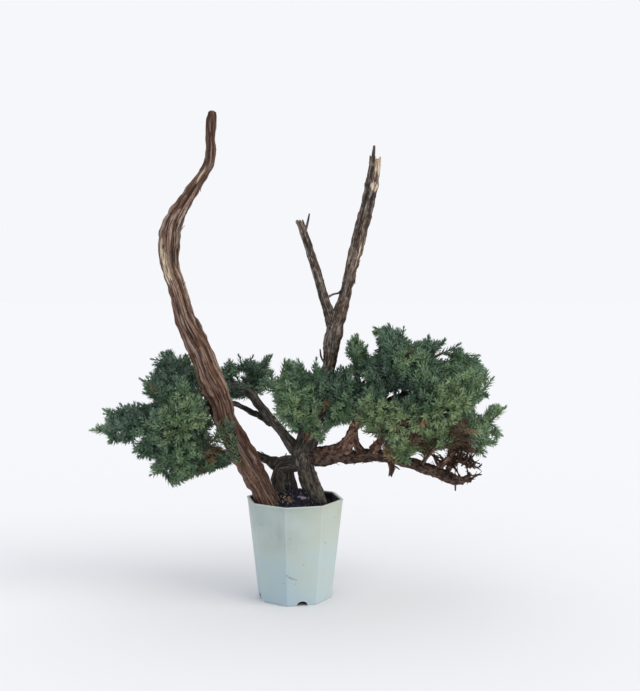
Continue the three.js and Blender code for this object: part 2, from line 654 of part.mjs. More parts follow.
// A leading stem, bare at first and leafy to its tip; forkAt marks where another one leaves it.
function leadStations(root, tip, middle, forkAt) {
  const curve = new THREE.QuadraticBezierCurve3(root, middle, tip);
  const length = curve.getLength();
  const leafy = Math.min(shoot.leafyLength, length * shoot.mostLeafy);
  const bare = length - leafy;
  const whorls = Math.max(2, Math.round(leafy / needle.whorlSpacing));
  const bareSteps = Math.max(1, Math.round(bare / shoot.stemStep));
  const places = [];
  for (let i = 0; i < bareSteps; i += 1) {
    places.push({ at: (bare * i) / bareSteps, bears: false });
    if (i === 0 && forkAt) {
      const fork = (bare / bareSteps) * forkAt;
      places.push({ at: fork - shoot.forkHeight / 2, bears: false, fork: true });
      places.push({ at: fork + shoot.forkHeight / 2, bears: false });
    }
  }
  for (let i = 0; i <= whorls; i += 1) {
    places.push({ at: bare + (leafy * i) / whorls, bears: i < whorls });
  }
  return places.map(({ at, bears, fork }) => {
    const share = Math.min(at / length, 1);
    const t = curve.getUtoTmapping(share);
    const radius = THREE.MathUtils.lerp(shoot.stemRadius, shoot.tipRadius, share);
    return { centre: curve.getPoint(t), direction: curve.getTangent(t), radius, bears, fork };
  });
}

// A side shoot: straight at first, turning up a little towards its tip.
function sideStations(start, heading, length) {
  const whorls = Math.max(2, Math.round(length / needle.whorlSpacing));
  const stations = [];
  for (let i = 0; i <= whorls; i += 1) {
    const share = i / whorls;
    const centre = start.clone().addScaledVector(heading, length * share);
    centre.z += length * shoot.upturn * share * share;
    const direction = heading.clone().add(new THREE.Vector3(0, 0, 2 * shoot.upturn * share)).normalize();
    const radius = THREE.MathUtils.lerp(shoot.coreRadius, shoot.tipRadius, share);
    stations.push({ centre, direction, radius, bears: i > 0 && i < whorls });
  }
  return stations;
}

function coreClear(owners, stations) {
  return stations.slice(1).every((s, i) => {
    const before = stations[i];
    return barClear(owners, before.centre, s.centre, before.radius, s.radius);
  });
}

function addCoreBars(owner, stations) {
  stations.slice(1).forEach((s, i) => {
    const before = stations[i];
    addBar(owner, before.centre, s.centre, before.radius, s.radius);
  });
}

// The leading shoots of a spray. The first grows from the wood, the others fork from it.
function planLeads(name, { root, tips, by }) {
  const start = vector(root);
  const leads = [];
  tips.forEach((tip, n) => {
    const end = vector(tip);
    const id = `${name}.${n}`;
    if (n === 0) {
      const sagging = start.clone().lerp(end, 0.5).add(new THREE.Vector3(0, 0, -shoot.sag));
      const middle = by ? vector(by) : sagging;
      const stations = leadStations(start, end, middle, tips.length > 1 ? shoot.forkShare : 0);
      leads.push({ id, ...shootAlong(stations, firstAcross(stations[0].direction)) });
    } else {
      const parent = leads[n - 1].stations.some((s) => s.fork) ? leads[n - 1] : leads[0];
      const step = parent.stations.findIndex((s) => s.fork);
      const aim = end.clone().sub(parent.stations[step].centre).normalize();
      const faces = [0, 1, 2].map((side) => ({ side, ...faceOf(parent, step, side) }));
      const face = faces.reduce((best, f) => (f.out.dot(aim) > best.out.dot(aim) ? f : best));
      const reach = face.centre.distanceTo(end);
      const middle = face.centre.clone();
      middle.addScaledVector(headingFrom(face, shoot.forkLeanDeg), reach * shoot.forkBow);
      middle.lerp(face.centre.clone().lerp(end, 0.5), shoot.forkEase);
      const forkAt = n + 1 < tips.length ? shoot.forkShare : 0;
      const stations = leadStations(face.centre, end, middle, forkAt);
      const lead = { id, ...shootAlong(stations, sideTo(face, stations[0].direction)) };
      parent.children.push({ step, side: face.side, lead });
      leads.push(lead);
    }
  });
  leads.forEach((lead) => addCoreBars(lead.id, lead.stations));
  return leads;
}

// The child's first ring is its parent's face, so its frame starts at the face's first corner.
function sideTo(face, direction) {
  return nextFrame(direction, face.corners[0].clone().sub(face.centre)).across;
}

const farthest = new THREE.Box3(...shoot.farthest.map(vector));

// Side shoots round a leading shoot, each from the first face whose way out is clear.
function planSides(lead, count, draw) {
  const firstLeafy = lead.stations.findIndex((s) => s.bears);
  const steps = lead.stations.length - 1 - firstLeafy;
  for (let n = 0; n < count; n += 1) {
    const wanted = firstLeafy + Math.round((n * shoot.sideSpread * steps) / count);
    const spin = Math.floor(3 * draw());
    const length = shoot.sideLength * (1 + shoot.sideLengthSpread * (draw() - 0.5));
    for (let k = 0; k < 6; k += 1) {
      const step = wanted + Math.floor(k / 3);
      const side = (spin + k) % 3;
      const taken = lead.children.some((c) => c.step === step && c.side === side);
      if (taken || step >= lead.stations.length - 2) continue;
      const face = faceOf(lead, step, side);
      const stations = sideStations(face.centre, headingFrom(face, shoot.sideLeanDeg), length);
      if (!farthest.containsPoint(stations[stations.length - 1].centre)) continue;
      if (!coreClear([lead.id], stations)) continue;
      const id = `${lead.id}.${n}`;
      const child = { id, ...shootAlong(stations, sideTo(face, stations[0].direction)) };
      lead.children.push({ step, side, lead: child });
      addCoreBars(id, stations);
      break;
    }
  }
}

// Where a needle on this face ends, or nothing where neither a whole nor a short one has room.
function needleTip(owner, face, draw) {
  const length = needle.length * (1 + needle.lengthSpread * (draw() - 0.5));
  const heading = headingFrom(face, needle.leanDeg + needle.leanSpreadDeg * (draw() - 0.5));
  for (const share of needle.shares) {
    const apex = face.centre.clone().addScaledVector(heading, length * share);
    if (barClear([owner], face.centre, apex, needle.rootRadius, needle.tipRadius)) {
      addBar(owner, face.centre, apex, needle.rootRadius, needle.tipRadius);
      return apex;
    }
  }
  return null;
}

// Writes one shoot and all it carries into a single closed skin.
function skinShoot(grown, ring, points, triangles, draw) {
  const { stations, children, id } = grown;
  let low = ring;
  for (let step = 0; step < stations.length - 1; step += 1) {
    const high = stations[step + 1].corners.map((corner) => points.push(corner) - 1);
    for (let side = 0; side < 3; side += 1) {
      const next = (side + 1) % 3;
      const corners = [low[side], low[next], high[side]];
      const child = children.find((c) => c.step === step && c.side === side);
      const bare = child || !stations[step].bears;
      const apex = bare ? null : needleTip(id, faceOf(grown, step, side), draw);
      if (child) {
        skinShoot(child.lead, corners, points, triangles, draw);
      } else if (apex) {
        const tip = points.push(apex) - 1;
        corners.forEach((corner, k) => triangles.push([corner, corners[(k + 1) % 3], tip]));
      } else {
        triangles.push(corners);
      }
      triangles.push([high[side], low[next], high[next]]);
    }
    low = high;
  }
  const last = stations[stations.length - 1];
  const bud = last.centre.clone().addScaledVector(last.direction, needle.length * needle.budShare);
  const tip = points.push(bud) - 1;
  low.forEach((corner, k) => triangles.push([corner, low[(k + 1) % 3], tip]));
}

function spraySolid(leads, draw) {
  const points = leads[0].stations[0].corners.map((corner) => corner.clone());
  const triangles = [[0, 2, 1]];
  skinShoot(leads[0], [0, 1, 2], points, triangles, draw);
  return solidOf(points, triangles);
}

// ---------------------------------------------------------------- the whole plant

function finish(color, roughness) {
  return new THREE.MeshStandardMaterial({ color, roughness, metalness: 0 });
}

const potPlastic = finish('#b3c1bb', 0.42);
const pottingMix = finish('#1b1c24', 0.95);
const juniperBark = finish('#5f4c42', 0.85);
const bluishNeedles = finish('#3f6350', 0.6);
const barkChip = finish('#6d5b3a', 0.85);
const pinkGrit = finish('#a08580', 0.8);
const paleGrit = finish('#8c8f96', 0.8);

const plant = new THREE.Group();
plant.name = 'potted_juniper';

plant.add(pieceOf('pot', makePot(), potPlastic));

const wood = mainBody(woodSolid(0));
const woodSeat = woodSolid(seatGap);
plant.add(pieceOf('wood', wood, juniperBark));

const fill = soilFill();
plant.add(pieceOf('soil', fill.subtract(woodSolid(1.3 * seatGap)), pottingMix));

const bits = [
  { name: 'bark_chip', place: [-6, -46, 113], size: [3.9, 2.6, 2.6], material: barkChip, seed: 21 },
  { name: 'pink_grit', place: [14, -34, 114.5], size: [3.1, 2.6, 2.2], material: pinkGrit, seed: 22 },
  { name: 'pale_grit', place: [7, -42, 112.6], size: [2.4, 2.2, 1.9], material: paleGrit, seed: 23 },
];
const bedding = fill.translate([0, 0, seatGap]);
bits.forEach(({ name, place, size, material, seed }) => {
  plant.add(pieceOf(name, lumpSolid(place, size, seed).subtract(bedding), material));
});

Object.entries(limbs).forEach(([name, points]) => {
  const stations = stationsOf(points);
  const swell = 1 + bark.fluteDepth;
  for (let i = 0; i < stations.length - 1; i += 1) {
    const [a, b] = [stations[i], stations[i + 1]];
    addBar('wood', a.centre, b.centre, a.radius * swell, b.radius * swell);
  }
});

// All cores are set first, so that every needle is then kept clear of every core.
const plans = Object.entries(sprays).map(([name, spray], i) => {
  return { name, leads: planLeads(name, spray), draw: seededDraw(shoot.firstSeed + i) };
});
plans.forEach(({ leads, draw }) => {
  const count = leads.length > 1 ? shoot.sidesPerTip : shoot.sidesPerLoneTip;
  leads.forEach((lead) => planSides(lead, count, draw));
});
plans.forEach(({ name, leads, draw }) => {
  plant.add(pieceOf(`spray_${name}`, spraySolid(leads, draw).subtract(woodSeat), bluishNeedles));
});

export default plant;
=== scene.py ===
import math
import random
from functools import partial

import bmesh
import bpy
import numpy as np
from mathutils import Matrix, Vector


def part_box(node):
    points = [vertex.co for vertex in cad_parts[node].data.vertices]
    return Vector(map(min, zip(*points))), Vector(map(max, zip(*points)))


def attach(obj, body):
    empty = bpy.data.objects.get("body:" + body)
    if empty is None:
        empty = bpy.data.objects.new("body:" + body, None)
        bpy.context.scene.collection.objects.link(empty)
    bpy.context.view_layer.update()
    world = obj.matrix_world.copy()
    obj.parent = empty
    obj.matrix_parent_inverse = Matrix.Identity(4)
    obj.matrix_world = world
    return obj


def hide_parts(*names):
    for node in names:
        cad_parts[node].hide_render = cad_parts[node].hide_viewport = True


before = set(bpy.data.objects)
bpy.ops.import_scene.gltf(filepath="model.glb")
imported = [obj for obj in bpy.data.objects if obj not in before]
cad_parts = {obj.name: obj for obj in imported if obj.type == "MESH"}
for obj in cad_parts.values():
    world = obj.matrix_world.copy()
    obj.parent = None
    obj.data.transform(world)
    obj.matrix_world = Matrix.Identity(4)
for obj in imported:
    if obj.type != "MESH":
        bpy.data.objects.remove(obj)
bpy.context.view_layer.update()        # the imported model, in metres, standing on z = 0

mm = 0.001
print("frame loaded:", len(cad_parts), "nodes")


def linearColour(hexText):
    channels = [int(hexText[i:i + 2], 16) / 255 for i in (1, 3, 5)]
    return tuple(c / 12.92 if c <= 0.04045 else ((c + 0.055) / 1.055) ** 2.4 for c in channels) + (1.0,)


# Adds a node with its settings and links, and gives one of its outputs. Inputs go by number or name
# and take a value or another node's output; a ramp's stops are places with hex colours.
def addNode(tree, kind, inputs=(), output=0, stops=(), **settings):
    node = tree.nodes.new(kind)
    for name, value in settings.items():
        setattr(node, name, value)
    for key, value in inputs.items() if isinstance(inputs, dict) else enumerate(inputs):
        if isinstance(value, bpy.types.NodeSocket):
            tree.links.new(value, node.inputs[key])
        else:
            node.inputs[key].default_value = value
    for number, (place, colour) in enumerate(stops):
        elements = node.color_ramp.elements
        stop = elements[number] if number < len(elements) else elements.new(place)
        stop.position, stop.color = place, linearColour(colour)
    return node.outputs[output] if node.outputs else None


# A Principled material, the adder of its nodes, and its Object coordinates.
def startMaterial(name):
    material = bpy.data.materials.new(name)
    material.use_nodes = True
    add = partial(addNode, material.node_tree)
    return material, add, add("ShaderNodeTexCoord", output="Object")


# Gives a material's shader its inputs, each a value or a node's output.
def endMaterial(material, inputs):
    shader = material.node_tree.nodes["Principled BSDF"]
    for name, value in inputs.items():
        if isinstance(value, bpy.types.NodeSocket):
            material.node_tree.links.new(value, shader.inputs[name])
        else:
            shader.inputs[name].default_value = value
    return material


# A mesh object from arrays in millimetres; attributes are one value, or one vector, a point.
def meshPiece(name, points, faces, attributes=None, smooth=True):
    mesh = bpy.data.meshes.new(name)
    mesh.from_pydata((np.asarray(points) * mm).tolist(), [], faces)
    mesh.update()
    mesh.polygons.foreach_set("use_smooth", [smooth] * len(mesh.polygons))
    setValues(mesh, attributes or {})
    return pieceOf(name, mesh)


def setValues(mesh, attributes):
    for key, values in attributes.items():
        values = np.asarray(values, np.float32)
        kind, field = ("FLOAT", "value") if values.ndim == 1 else ("FLOAT_VECTOR", "vector")
        mesh.attributes.new(key, kind, "POINT").data.foreach_set(field, values.ravel())


def pieceOf(name, mesh):
    piece = bpy.data.objects.new(name, mesh)
    bpy.context.scene.collection.objects.link(piece)
    return piece


# A geometry tree with the given inputs, as (label, kind, start value), and one geometry output.
def startTree(name, inputs):
    tree = bpy.data.node_groups.new(name, "GeometryNodeTree")
    sockets = {}
    for label, kind, value in [("Geometry", "Geometry", None)] + inputs:
        socket = tree.interface.new_socket(label, in_out="INPUT", socket_type="NodeSocket" + kind)
        if value is not None:
            socket.default_value = value
        sockets[label] = socket.identifier
    tree.interface.new_socket("Geometry", in_out="OUTPUT", socket_type="NodeSocketGeometry")
    add = partial(addNode, tree)
    return tree, sockets, add, add("NodeGroupInput").node.outputs


# Ends a geometry tree: its parts are joined, made real, given their material and put out.
def endTree(tree, parts, material):
    add = partial(addNode, tree)
    joined = add("GeometryNodeJoinGeometry")
    for part in parts:
        tree.links.new(part, joined.node.inputs[0])
    real = add("GeometryNodeRealizeInstances", (joined,))
    add("NodeGroupOutput", (add("GeometryNodeSetMaterial", {"Geometry": real, "Material": material}),))


# Runs a tree on an object and gives the plain mesh that comes out of it; the object goes.
def grownMesh(start, tree, sockets, values):
    grower = start.modifiers.new("grower", "NODES")
    grower.node_group = tree
    for label, value in values.items():
        grower[sockets[label]] = value
    grown = bpy.data.meshes.new_from_object(start.evaluated_get(bpy.context.evaluated_depsgraph_get()))
    bare = start.data
    bpy.data.objects.remove(start)
    bpy.data.meshes.remove(bare)
    return grown


# Every piece of the plant rides on the one body, and the solids that it stands for are hidden.
def settle(piece, slotName, *nodes):
    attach(piece, "root")
    if nodes:
        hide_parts(*nodes)
    return piece


# Seeded value noise on a lattice that closes on itself in u after `period` cells.
class LatticeNoise:
    def __init__(self, seed, period, rows=512):
        self.table = np.random.default_rng(seed).random((period, rows))

    def at(self, u, v):
        period, rows = self.table.shape
        i, j = np.floor(u).astype(int), np.floor(v).astype(int)
        fu, fv = u - i, v - j
        fu, fv = fu * fu * (3 - 2 * fu), fv * fv * (3 - 2 * fv)
        near = self.table[i % period, j % rows] * (1 - fv) + self.table[i % period, (j + 1) % rows] * fv
        far = (self.table[(i + 1) % period, j % rows] * (1 - fv)
               + self.table[(i + 1) % period, (j + 1) % rows] * fv)
        return near * (1 - fu) + far * fu


# Quads between closed rings of points that follow each other.
def ringFaces(rings, count):
    index = np.arange(rings * count).reshape(rings, count)
    low, high = index[:-1], index[1:]
    return np.stack([low, np.roll(low, -1, 1), np.roll(high, -1, 1), high], -1).reshape(-1, 4).tolist()


def smoothStep(low, high, value):
    t = np.clip((value - low) / (high - low), 0, 1)
    return t * t * (3 - 2 * t)


# The photograph's viewpoint: a little above the foliage, looking slightly down.
view = {"place": (31.0, -1200.0, 376.0), "downDeg": 3.2, "focalPixels": 987.0, "imageHeight": 691}


def makeCamera():
    camera = bpy.data.objects.new("camera", bpy.data.cameras.new("camera"))
    bpy.context.scene.collection.objects.link(camera)
    camera.location = Vector(view["place"]) * mm
    camera.rotation_euler = (math.radians(90 - view["downDeg"]), 0, 0)
    camera.data.sensor_fit = "VERTICAL"
    camera.data.sensor_height = 36
    camera.data.lens = view["focalPixels"] * 36 / view["imageHeight"]
    camera.data.clip_start = 0.01
    camera.data.clip_end = 40
    bpy.context.scene.camera = camera


makeCamera()


# Centre lines of the wood in millimetres, each point with its radius, as the solids have them.
limbs = {
    "tallStem": [
        [-18, -4, 84, 15], [-32, -10, 116, 15.1], [-44, -14, 144, 14.2], [-57, -18, 170, 13.9],
        [-71, -22, 196, 13.8], [-82, -25, 222, 12.9], [-87, -27, 244, 13.1], [-94, -28, 261, 14.2],
        [-102, -28, 278, 13.8], [-109, -26, 298, 13.3], [-118, -24, 316, 14.1], [-129, -19, 339, 12.2],
        [-137, -14, 364, 10.6], [-143, -10, 384, 9.4], [-149, -7, 400, 9.7], [-151, -4, 416, 11.1],
        [-151, -2, 432, 12.1], [-149, 0, 450, 11.9], [-143, 1, 465, 10.5], [-134, 2, 480, 8.8],
        [-123, 2, 497, 7.7], [-111, 0, 514, 6.1], [-103, -2, 527, 5.8], [-100, -4, 541, 5.9],
        [-100, -7, 559, 5.9], [-98, -10, 588, 6.1],
    ],
    "centreStem": [
        [24, 6, 84, 12], [30, 8, 111, 10.6], [23, 6, 132, 9.4], [16, 3, 153, 9.6], [12, 1, 172, 11.4],
        [14, 0, 192, 11.7], [24, 6, 219, 10.5], [33, 10, 249, 9.8], [42, 12, 285, 8.6],
        [48, 12, 319, 10], [56, 11, 349, 8.4], [64, 8, 379, 7], [72, 6, 415, 8.1],
        [82, 3, 454, 8], [90, 0, 487, 7.5], [95, -2, 511, 7.3], [98, -3, 533, 6.3],
    ],
    "backStem": [
        [-8, 18, 84, 14], [-12, 22, 110, 15.2], [-15, 22, 127, 14.8], [-17, 21, 142, 14.2],
        [-15, 18, 157, 11.6], [-2, 11, 161, 10.6], [10, 4, 164, 9.6],
    ],
    "rootCrown": [
        [-28, -8, 86, 13], [-8, 4, 84, 15], [12, 8, 84, 14], [30, 8, 88, 10],
    ],
    "snagFork": [
        [50, 12, 326, 6.6], [42, 14, 349, 6.4], [34, 16, 374, 5.4], [24, 19, 407, 5.4],
        [15, 21, 435, 4.9], [6, 23, 460, 4.7],
    ],
    "lowLeftLimb": [
        [-14, 18, 156, 8.8], [-30, 22, 163, 6.4], [-45, 26, 168, 5.7], [-61, 28, 171, 5.2],
        [-79, 26, 170, 4.7], [-99, 20, 171, 4.2], [-118, 14, 178, 3.4], [-137, 8, 183, 2.7],
    ],
    "archUpper": [
        [7, 2, 173, 7.8], [-8, 8, 191, 6.6], [-20, 16, 205, 6.2], [-33, 26, 218, 6.1],
        [-45, 36, 231, 5.9], [-57, 42, 245, 5.7], [-68, 44, 254, 5.3], [-82, 40, 258, 4.8],
        [-102, 32, 254, 4.2], [-121, 22, 245, 3.6], [-137, 12, 236, 2.8],
    ],
    "archLower": [
        [-27, 20, 209, 5], [-42, 34, 217, 3.8], [-55, 38, 222, 3.4], [-67, 38, 229, 3.3],
        [-79, 36, 234, 3], [-97, 32, 230, 3], [-118, 22, 218, 2.7], [-144, 12, 208, 2.5],
        [-168, 4, 205, 2],
    ],
    "rightLimb": [
        [14, 0, 170, 10.6], [31, -4, 172, 10.2], [46, -8, 175, 9.7], [60, -11, 175, 8.4],
        [75, -13, 174, 7.4], [92, -14, 176, 7.9], [111, -14, 174, 7], [133, -12, 169, 6.7],
        [153, -8, 162, 6.5], [172, -4, 156, 6.1], [189, 0, 149, 5.3], [204, 3, 144, 4.1],
        [217, 5, 142, 2.8],
    ],
    "riser": [
        [57, -11, 174, 7.4], [65, -13, 191, 6.5], [71, -16, 208, 5.8], [77, -20, 224, 5],
        [86, -24, 243, 4.3], [98, -26, 260, 3.6], [110, -24, 274, 2.9],
    ],
    "backRiser": [
        [72, -17, 211, 4.3], [87, 2, 225, 3.9], [108, 18, 236, 3.6], [133, 28, 245, 3.2],
        [159, 32, 249, 2.9], [181, 30, 244, 2.4],
    ],
    "frontRiser": [
        [94, -14, 178, 5.6], [104, -26, 196, 4.3], [116, -36, 209, 3.5], [135, -42, 221, 3.1],
        [156, -40, 229, 2.7], [179, -32, 234, 2.1],
    ],
    "endRiser": [[173, -4, 158, 4.1], [185, -6, 169, 3.6], [198, -6, 183, 3.1], [210, -4, 194, 2.4]],
    "crownLimb": [
        [15, -1, 190, 7], [18, -14, 207, 5.3], [23, -26, 224, 4.3], [27, -32, 239, 3.6],
        [29, -32, 253, 2.6],
    ],
    "crownRight": [[23, -25, 222, 3.3], [35, -24, 230, 2.9], [48, -16, 239, 2.4], [61, -14, 255, 1.6]],

    "leftUpTwig": [[-121, 22, 245, 2.7], [-130, 16, 259, 2.3], [-141, 10, 274, 2], [-152, 6, 286, 1.5]],
    "leftBackTwig": [[-102, 32, 254, 3], [-125, 44, 260, 2.5], [-147, 50, 262, 1.8]],
    "leftFarTwig": [[-166, 5, 205, 2.1], [-187, 0, 205, 1.8], [-210, 2, 206, 1.3]],
    "leftFrontTwig": [[-118, 22, 218, 2.6], [-126, 2, 212, 2.3], [-133, -14, 210, 1.9],
                      [-147, -26, 209, 1.4]],
    "leftLowTwig": [[-137, 8, 183, 2.4], [-150, 4, 173, 2.1], [-162, 2, 159, 1.5]],
    "leftLowBackTwig": [[-118, 14, 178, 2.6], [-138, 32, 178, 2.2], [-158, 44, 179, 1.5]],
    "backLeftTwig": [[-57, 42, 245, 3], [-61, 54, 259, 2.5], [-64, 62, 273, 1.8]],
    "crownFrontTwig": [[18, -14, 207, 3.1], [10, -34, 220, 2.5], [4, -46, 234, 1.6]],
    "crownLeftTwig": [[23, -26, 224, 2.7], [5, -22, 240, 2.3], [-13, -18, 253, 1.6]],
    "middleBackTwig": [[33, 10, 249, 2.9], [24, 28, 253, 2.5], [12, 44, 259, 1.6]],
    "riserTop": [[110, -24, 274, 2.9], [123, -14, 295, 2.3], [134, -8, 312, 1.6]],
    "riserLeft": [[86, -24, 243, 2.9], [79, -20, 263, 2.4], [74, -16, 283, 1.6]],
    "riserRight": [[98, -26, 260, 3.1], [127, -22, 272, 2.6], [156, -12, 288, 2.2], [179, -6, 300, 1.5]],
    "backFarTwig": [[181, 30, 244, 2.4], [204, 20, 243, 1.6]],
    "frontFarTwig": [[179, -32, 234, 2.5], [200, -28, 242, 2], [221, -18, 247, 1.4]],
    "endFarTwig": [[210, -4, 194, 2.4], [223, -8, 205, 2.1], [234, -12, 216, 1.4]],
    "backHighTwig": [[133, 28, 245, 3], [145, 46, 263, 2.5], [155, 59, 281, 1.7]],
    "frontMidTwig": [[104, -26, 196, 2.9], [102, -44, 216, 2.3], [104, -55, 235, 1.5]],
    "rightLowTwig": [[153, -8, 162, 2.7], [161, -20, 177, 2.2], [168, -31, 189, 1.4]],

    "dropStub": [[117, -14, 173, 4.1], [118, -16, 161, 3.4], [116, -17, 152, 2.4]],
    "dropTwig": [[117, -16, 164, 1.4], [123, -18, 163, 1.1], [127, -20, 160, 0.7]],
    "endStub": [[196, -4, 172, 2.9], [206, -8, 167, 2.7], [215, -9, 161, 2.2]],
    "endStubRoot": [[186, -3, 154, 3.6], [192, -4, 164, 3.2], [198, -5, 172, 2.8]],
    "forkStub": [[207, 3, 144, 2.9], [213, 2, 148, 2.2], [216, 1, 151, 1.6]],
    "hangTwig": [[197, 0, 149, 1.9], [197, -2, 139, 1.5], [197, -3, 131, 1]],
    "forkTwig": [[12, 21, 446, 1.8], [16, 20, 460, 1.4], [18, 19, 470, 0.9]],
    "snagSpike": [[95, -4, 522, 3.2], [95, -5, 538, 2.4], [96, -6, 549, 1.3]],
    "hookTwig": [[36, 16, 365, 1.7], [47, 12, 371, 1.3], [54, 9, 373, 1.2], [59, 8, 379, 1]],
    "riserNub": [[66, -13, 189, 2.6], [58, -15, 197, 1.6]],
    "backNubLeft": [[-14, 18, 159, 2.4], [-12, 17, 171, 1.1]],
    "backNubRight": [[-7, 14, 160, 2.4], [-5, 12, 170, 1.1]],
    "baseTwig": [[43, 11, 279, 1.7], [33, 7, 293, 1.2], [31, 6, 304, 0.9]],
}

# What a user may change about the bark. Lengths are in millimetres.
bark = {
    "roundStep": 0.75, "alongStep": 1.3,         # spacing of the mesh round and along a thick limb
    "twigRoundStep": 0.9, "twigAlongStep": 2.0, "twigRadius": 3.6,
    "fluteDepth": 0.1, "twistPerMm": 0.012,      # the long ribs, as the solids have them:
    "flutes": ((3, 2.1, 0.7, 0.6), (5, -1.3, 2.2, 0.4)),    # how many, twist, phase and share
    "grainTwist": 0.003,                         # how much the bark's strips wind round the limb
    "ropeWidth": 8.5, "ropeLength": 70.0, "ropeSway": 0.8,
    "stripWidth": 2.5, "stripLength": 34.0, "stripSway": 1.1,    # peeling strips on the ropes
    "fibreWidth": 1.4, "fibreLength": 14.0,
    "plateWidth": 4.2, "plateLength": 22.0,      # where one layer has flaked off another
    "flakeWidth": 2.3, "flakeLength": 3.4,       # short scales on the flaky limbs
    "furrowShare": 0.3, "furrowMost": 3.2,       # depth of a furrow: share of the radius, and at most
    "flakeRows": 400,                            # length of the table of chances for the plates
    "ropeSharp": 3.0, "stripSharp": 2.0,         # how narrow their furrows are
    "ropeShare": 0.24, "stripShare": 0.32, "fibreShare": 0.26, "plateShare": 0.18,   # of the height
    "driftLength": 20.0, "driftReach": 1.6,      # how the plates shift sideways, in columns
    "scaleLift": 0.5, "scaleCover": 0.3,         # how the flaky limbs' scales hide the layers below
    "bareHeight": 0.36, "bareGrain": 0.25, "bareEdge": (0.8, 1.15),    # of wood without its bark
    "middleHeight": 0.56, "contrast": 0.2,       # and how far ridges and furrows lie from it
    "grainDraw": 0.07, "flakyDraw": 0.25,        # how far the fibres' length is drawn in
    "shredLength": 6.5, "shredWidth": 1.7, "shredThickness": 0.45,
    "knobDepth": 0.08, "knobLength": 26.0, "lumpDepth": 0.1, "lumpLength": 7.5,
    "collar": 0.28, "collarLength": 2.4, "rootTaper": 1.5,    # how a limb swells where it starts
    "splinter": 0.8,                             # ragged ends, share of the radius
    "endLength": 2.5, "blunt": 0.25,             # radii over which an end changes, and how it thins
}

# How each limb looks, at even steps from root to tip: warm goes from grey to pinkish brown, light
# from dark to bleached, and relief says how deep and clear its bark is. Ragged marks a broken end,
# blunt a rounded one, rooted a limb that needs no swollen root. Shreds are counted to 100 mm.
limbLooks = {
    "tallStem": {"warm": (0.85, 0.95, 0.85, 0.7, 0.75, 1.0),
                 "light": (0.34, 0.28, 0.37, 0.47, 0.41, 0.24),
                 "relief": (0.55, 0.65, 0.9, 1.0, 1.0, 0.8), "blunt": True, "rooted": True, "shreds": 10},
    "centreStem": {"warm": (-0.2, 0.2, 0.35, 0.3), "light": (0.44, 0.3, 0.38, 0.37),
                   "relief": (0.6, 0.9, 1), "ragged": True, "rooted": True, "flaky": 0.3, "shreds": 12},
    "backStem": {"warm": (-0.4, -0.2), "light": (0.25, 0.22), "relief": (0.5, 0.6), "rooted": True,
                 "flaky": 0.15, "shreds": 8},
    "backStump": {"warm": (-0.4, -0.2), "light": (0.25, 0.22), "relief": (0.5, 0.6), "rooted": True,
                  "ragged": True, "flaky": 0.15, "splinter": 0.2},
    "rootCrown": {"warm": (0.3, 0.3), "light": (0.14, 0.14), "rooted": True},
    "stemKnuckle": {"warm": (-0.4, -0.2, 0.0, 0.7), "light": (0.52, 0.45, 0.22, 0.22),
                    "relief": (0.6, 0.8), "rooted": True, "flaky": 0.5, "shreds": 20},
    "snagFork": {"warm": (0.2, 0.05), "light": (0.36, 0.4), "ragged": True, "flaky": 0.3},
    "lowLeftLimb": {"warm": (0.35, 0.7), "light": (0.16, 0.3), "flaky": 0.6, "shreds": 20},
    "archUpper": {"warm": (-0.1, -0.3), "light": (0.43, 0.38), "relief": (0.5, 0.7), "flaky": 0.2},
    "archLower": {"warm": (0.15, 0.1), "light": (0.18, 0.18), "flaky": 0.5, "shreds": 24},
    "rightLimb": {"warm": (0.8, 0.95), "light": (0.165, 0.14), "flaky": 1.0, "shreds": 42},
    "riser": {"warm": (0.9, 1.2, 1.0), "light": (0.26, 0.6, 0.35), "flaky": 0.7, "shreds": 30},
    "riserShoulder": {"warm": (0.7, 1.1), "light": (0.2, 0.58), "flaky": 1.0, "shreds": 40},
    "endTwig": {"warm": (0.8, 0.9), "light": (0.2, 0.17), "flaky": 0.8, "shreds": 60, "ragged": True},
    "snagSpike": {"warm": (0.1, 0.1), "light": (0.3, 0.25)},
    "twig": {"warm": (0.8, 0.75), "light": (0.2, 0.18)},
    # a thin limb along the tall stem's left side, painted near black
    "huggingTwig": {"warm": (0.3, 0.3), "light": (0.06, 0.06)},
    "deadTwig": {"warm": (0.35, 0.2), "light": (0.4, 0.45)},
}
looksLike = {
    "limbCrust": "rightLimb", "riserHeel": "riserShoulder", "backHeel": "backStem",
    "backRiser": "riser", "frontRiser": "riser", "endRiser": "riser", "crownLimb": "riser",
    "crownRight": "riser", "dropStub": "endTwig", "endStub": "endTwig", "endStubRoot": "endTwig",
    "forkStub": "endTwig", "forkTwig": "deadTwig", "hookTwig": "deadTwig", "baseTwig": "deadTwig",
    "backNubLeft": "backStem", "backNubRight": "backStem",
}
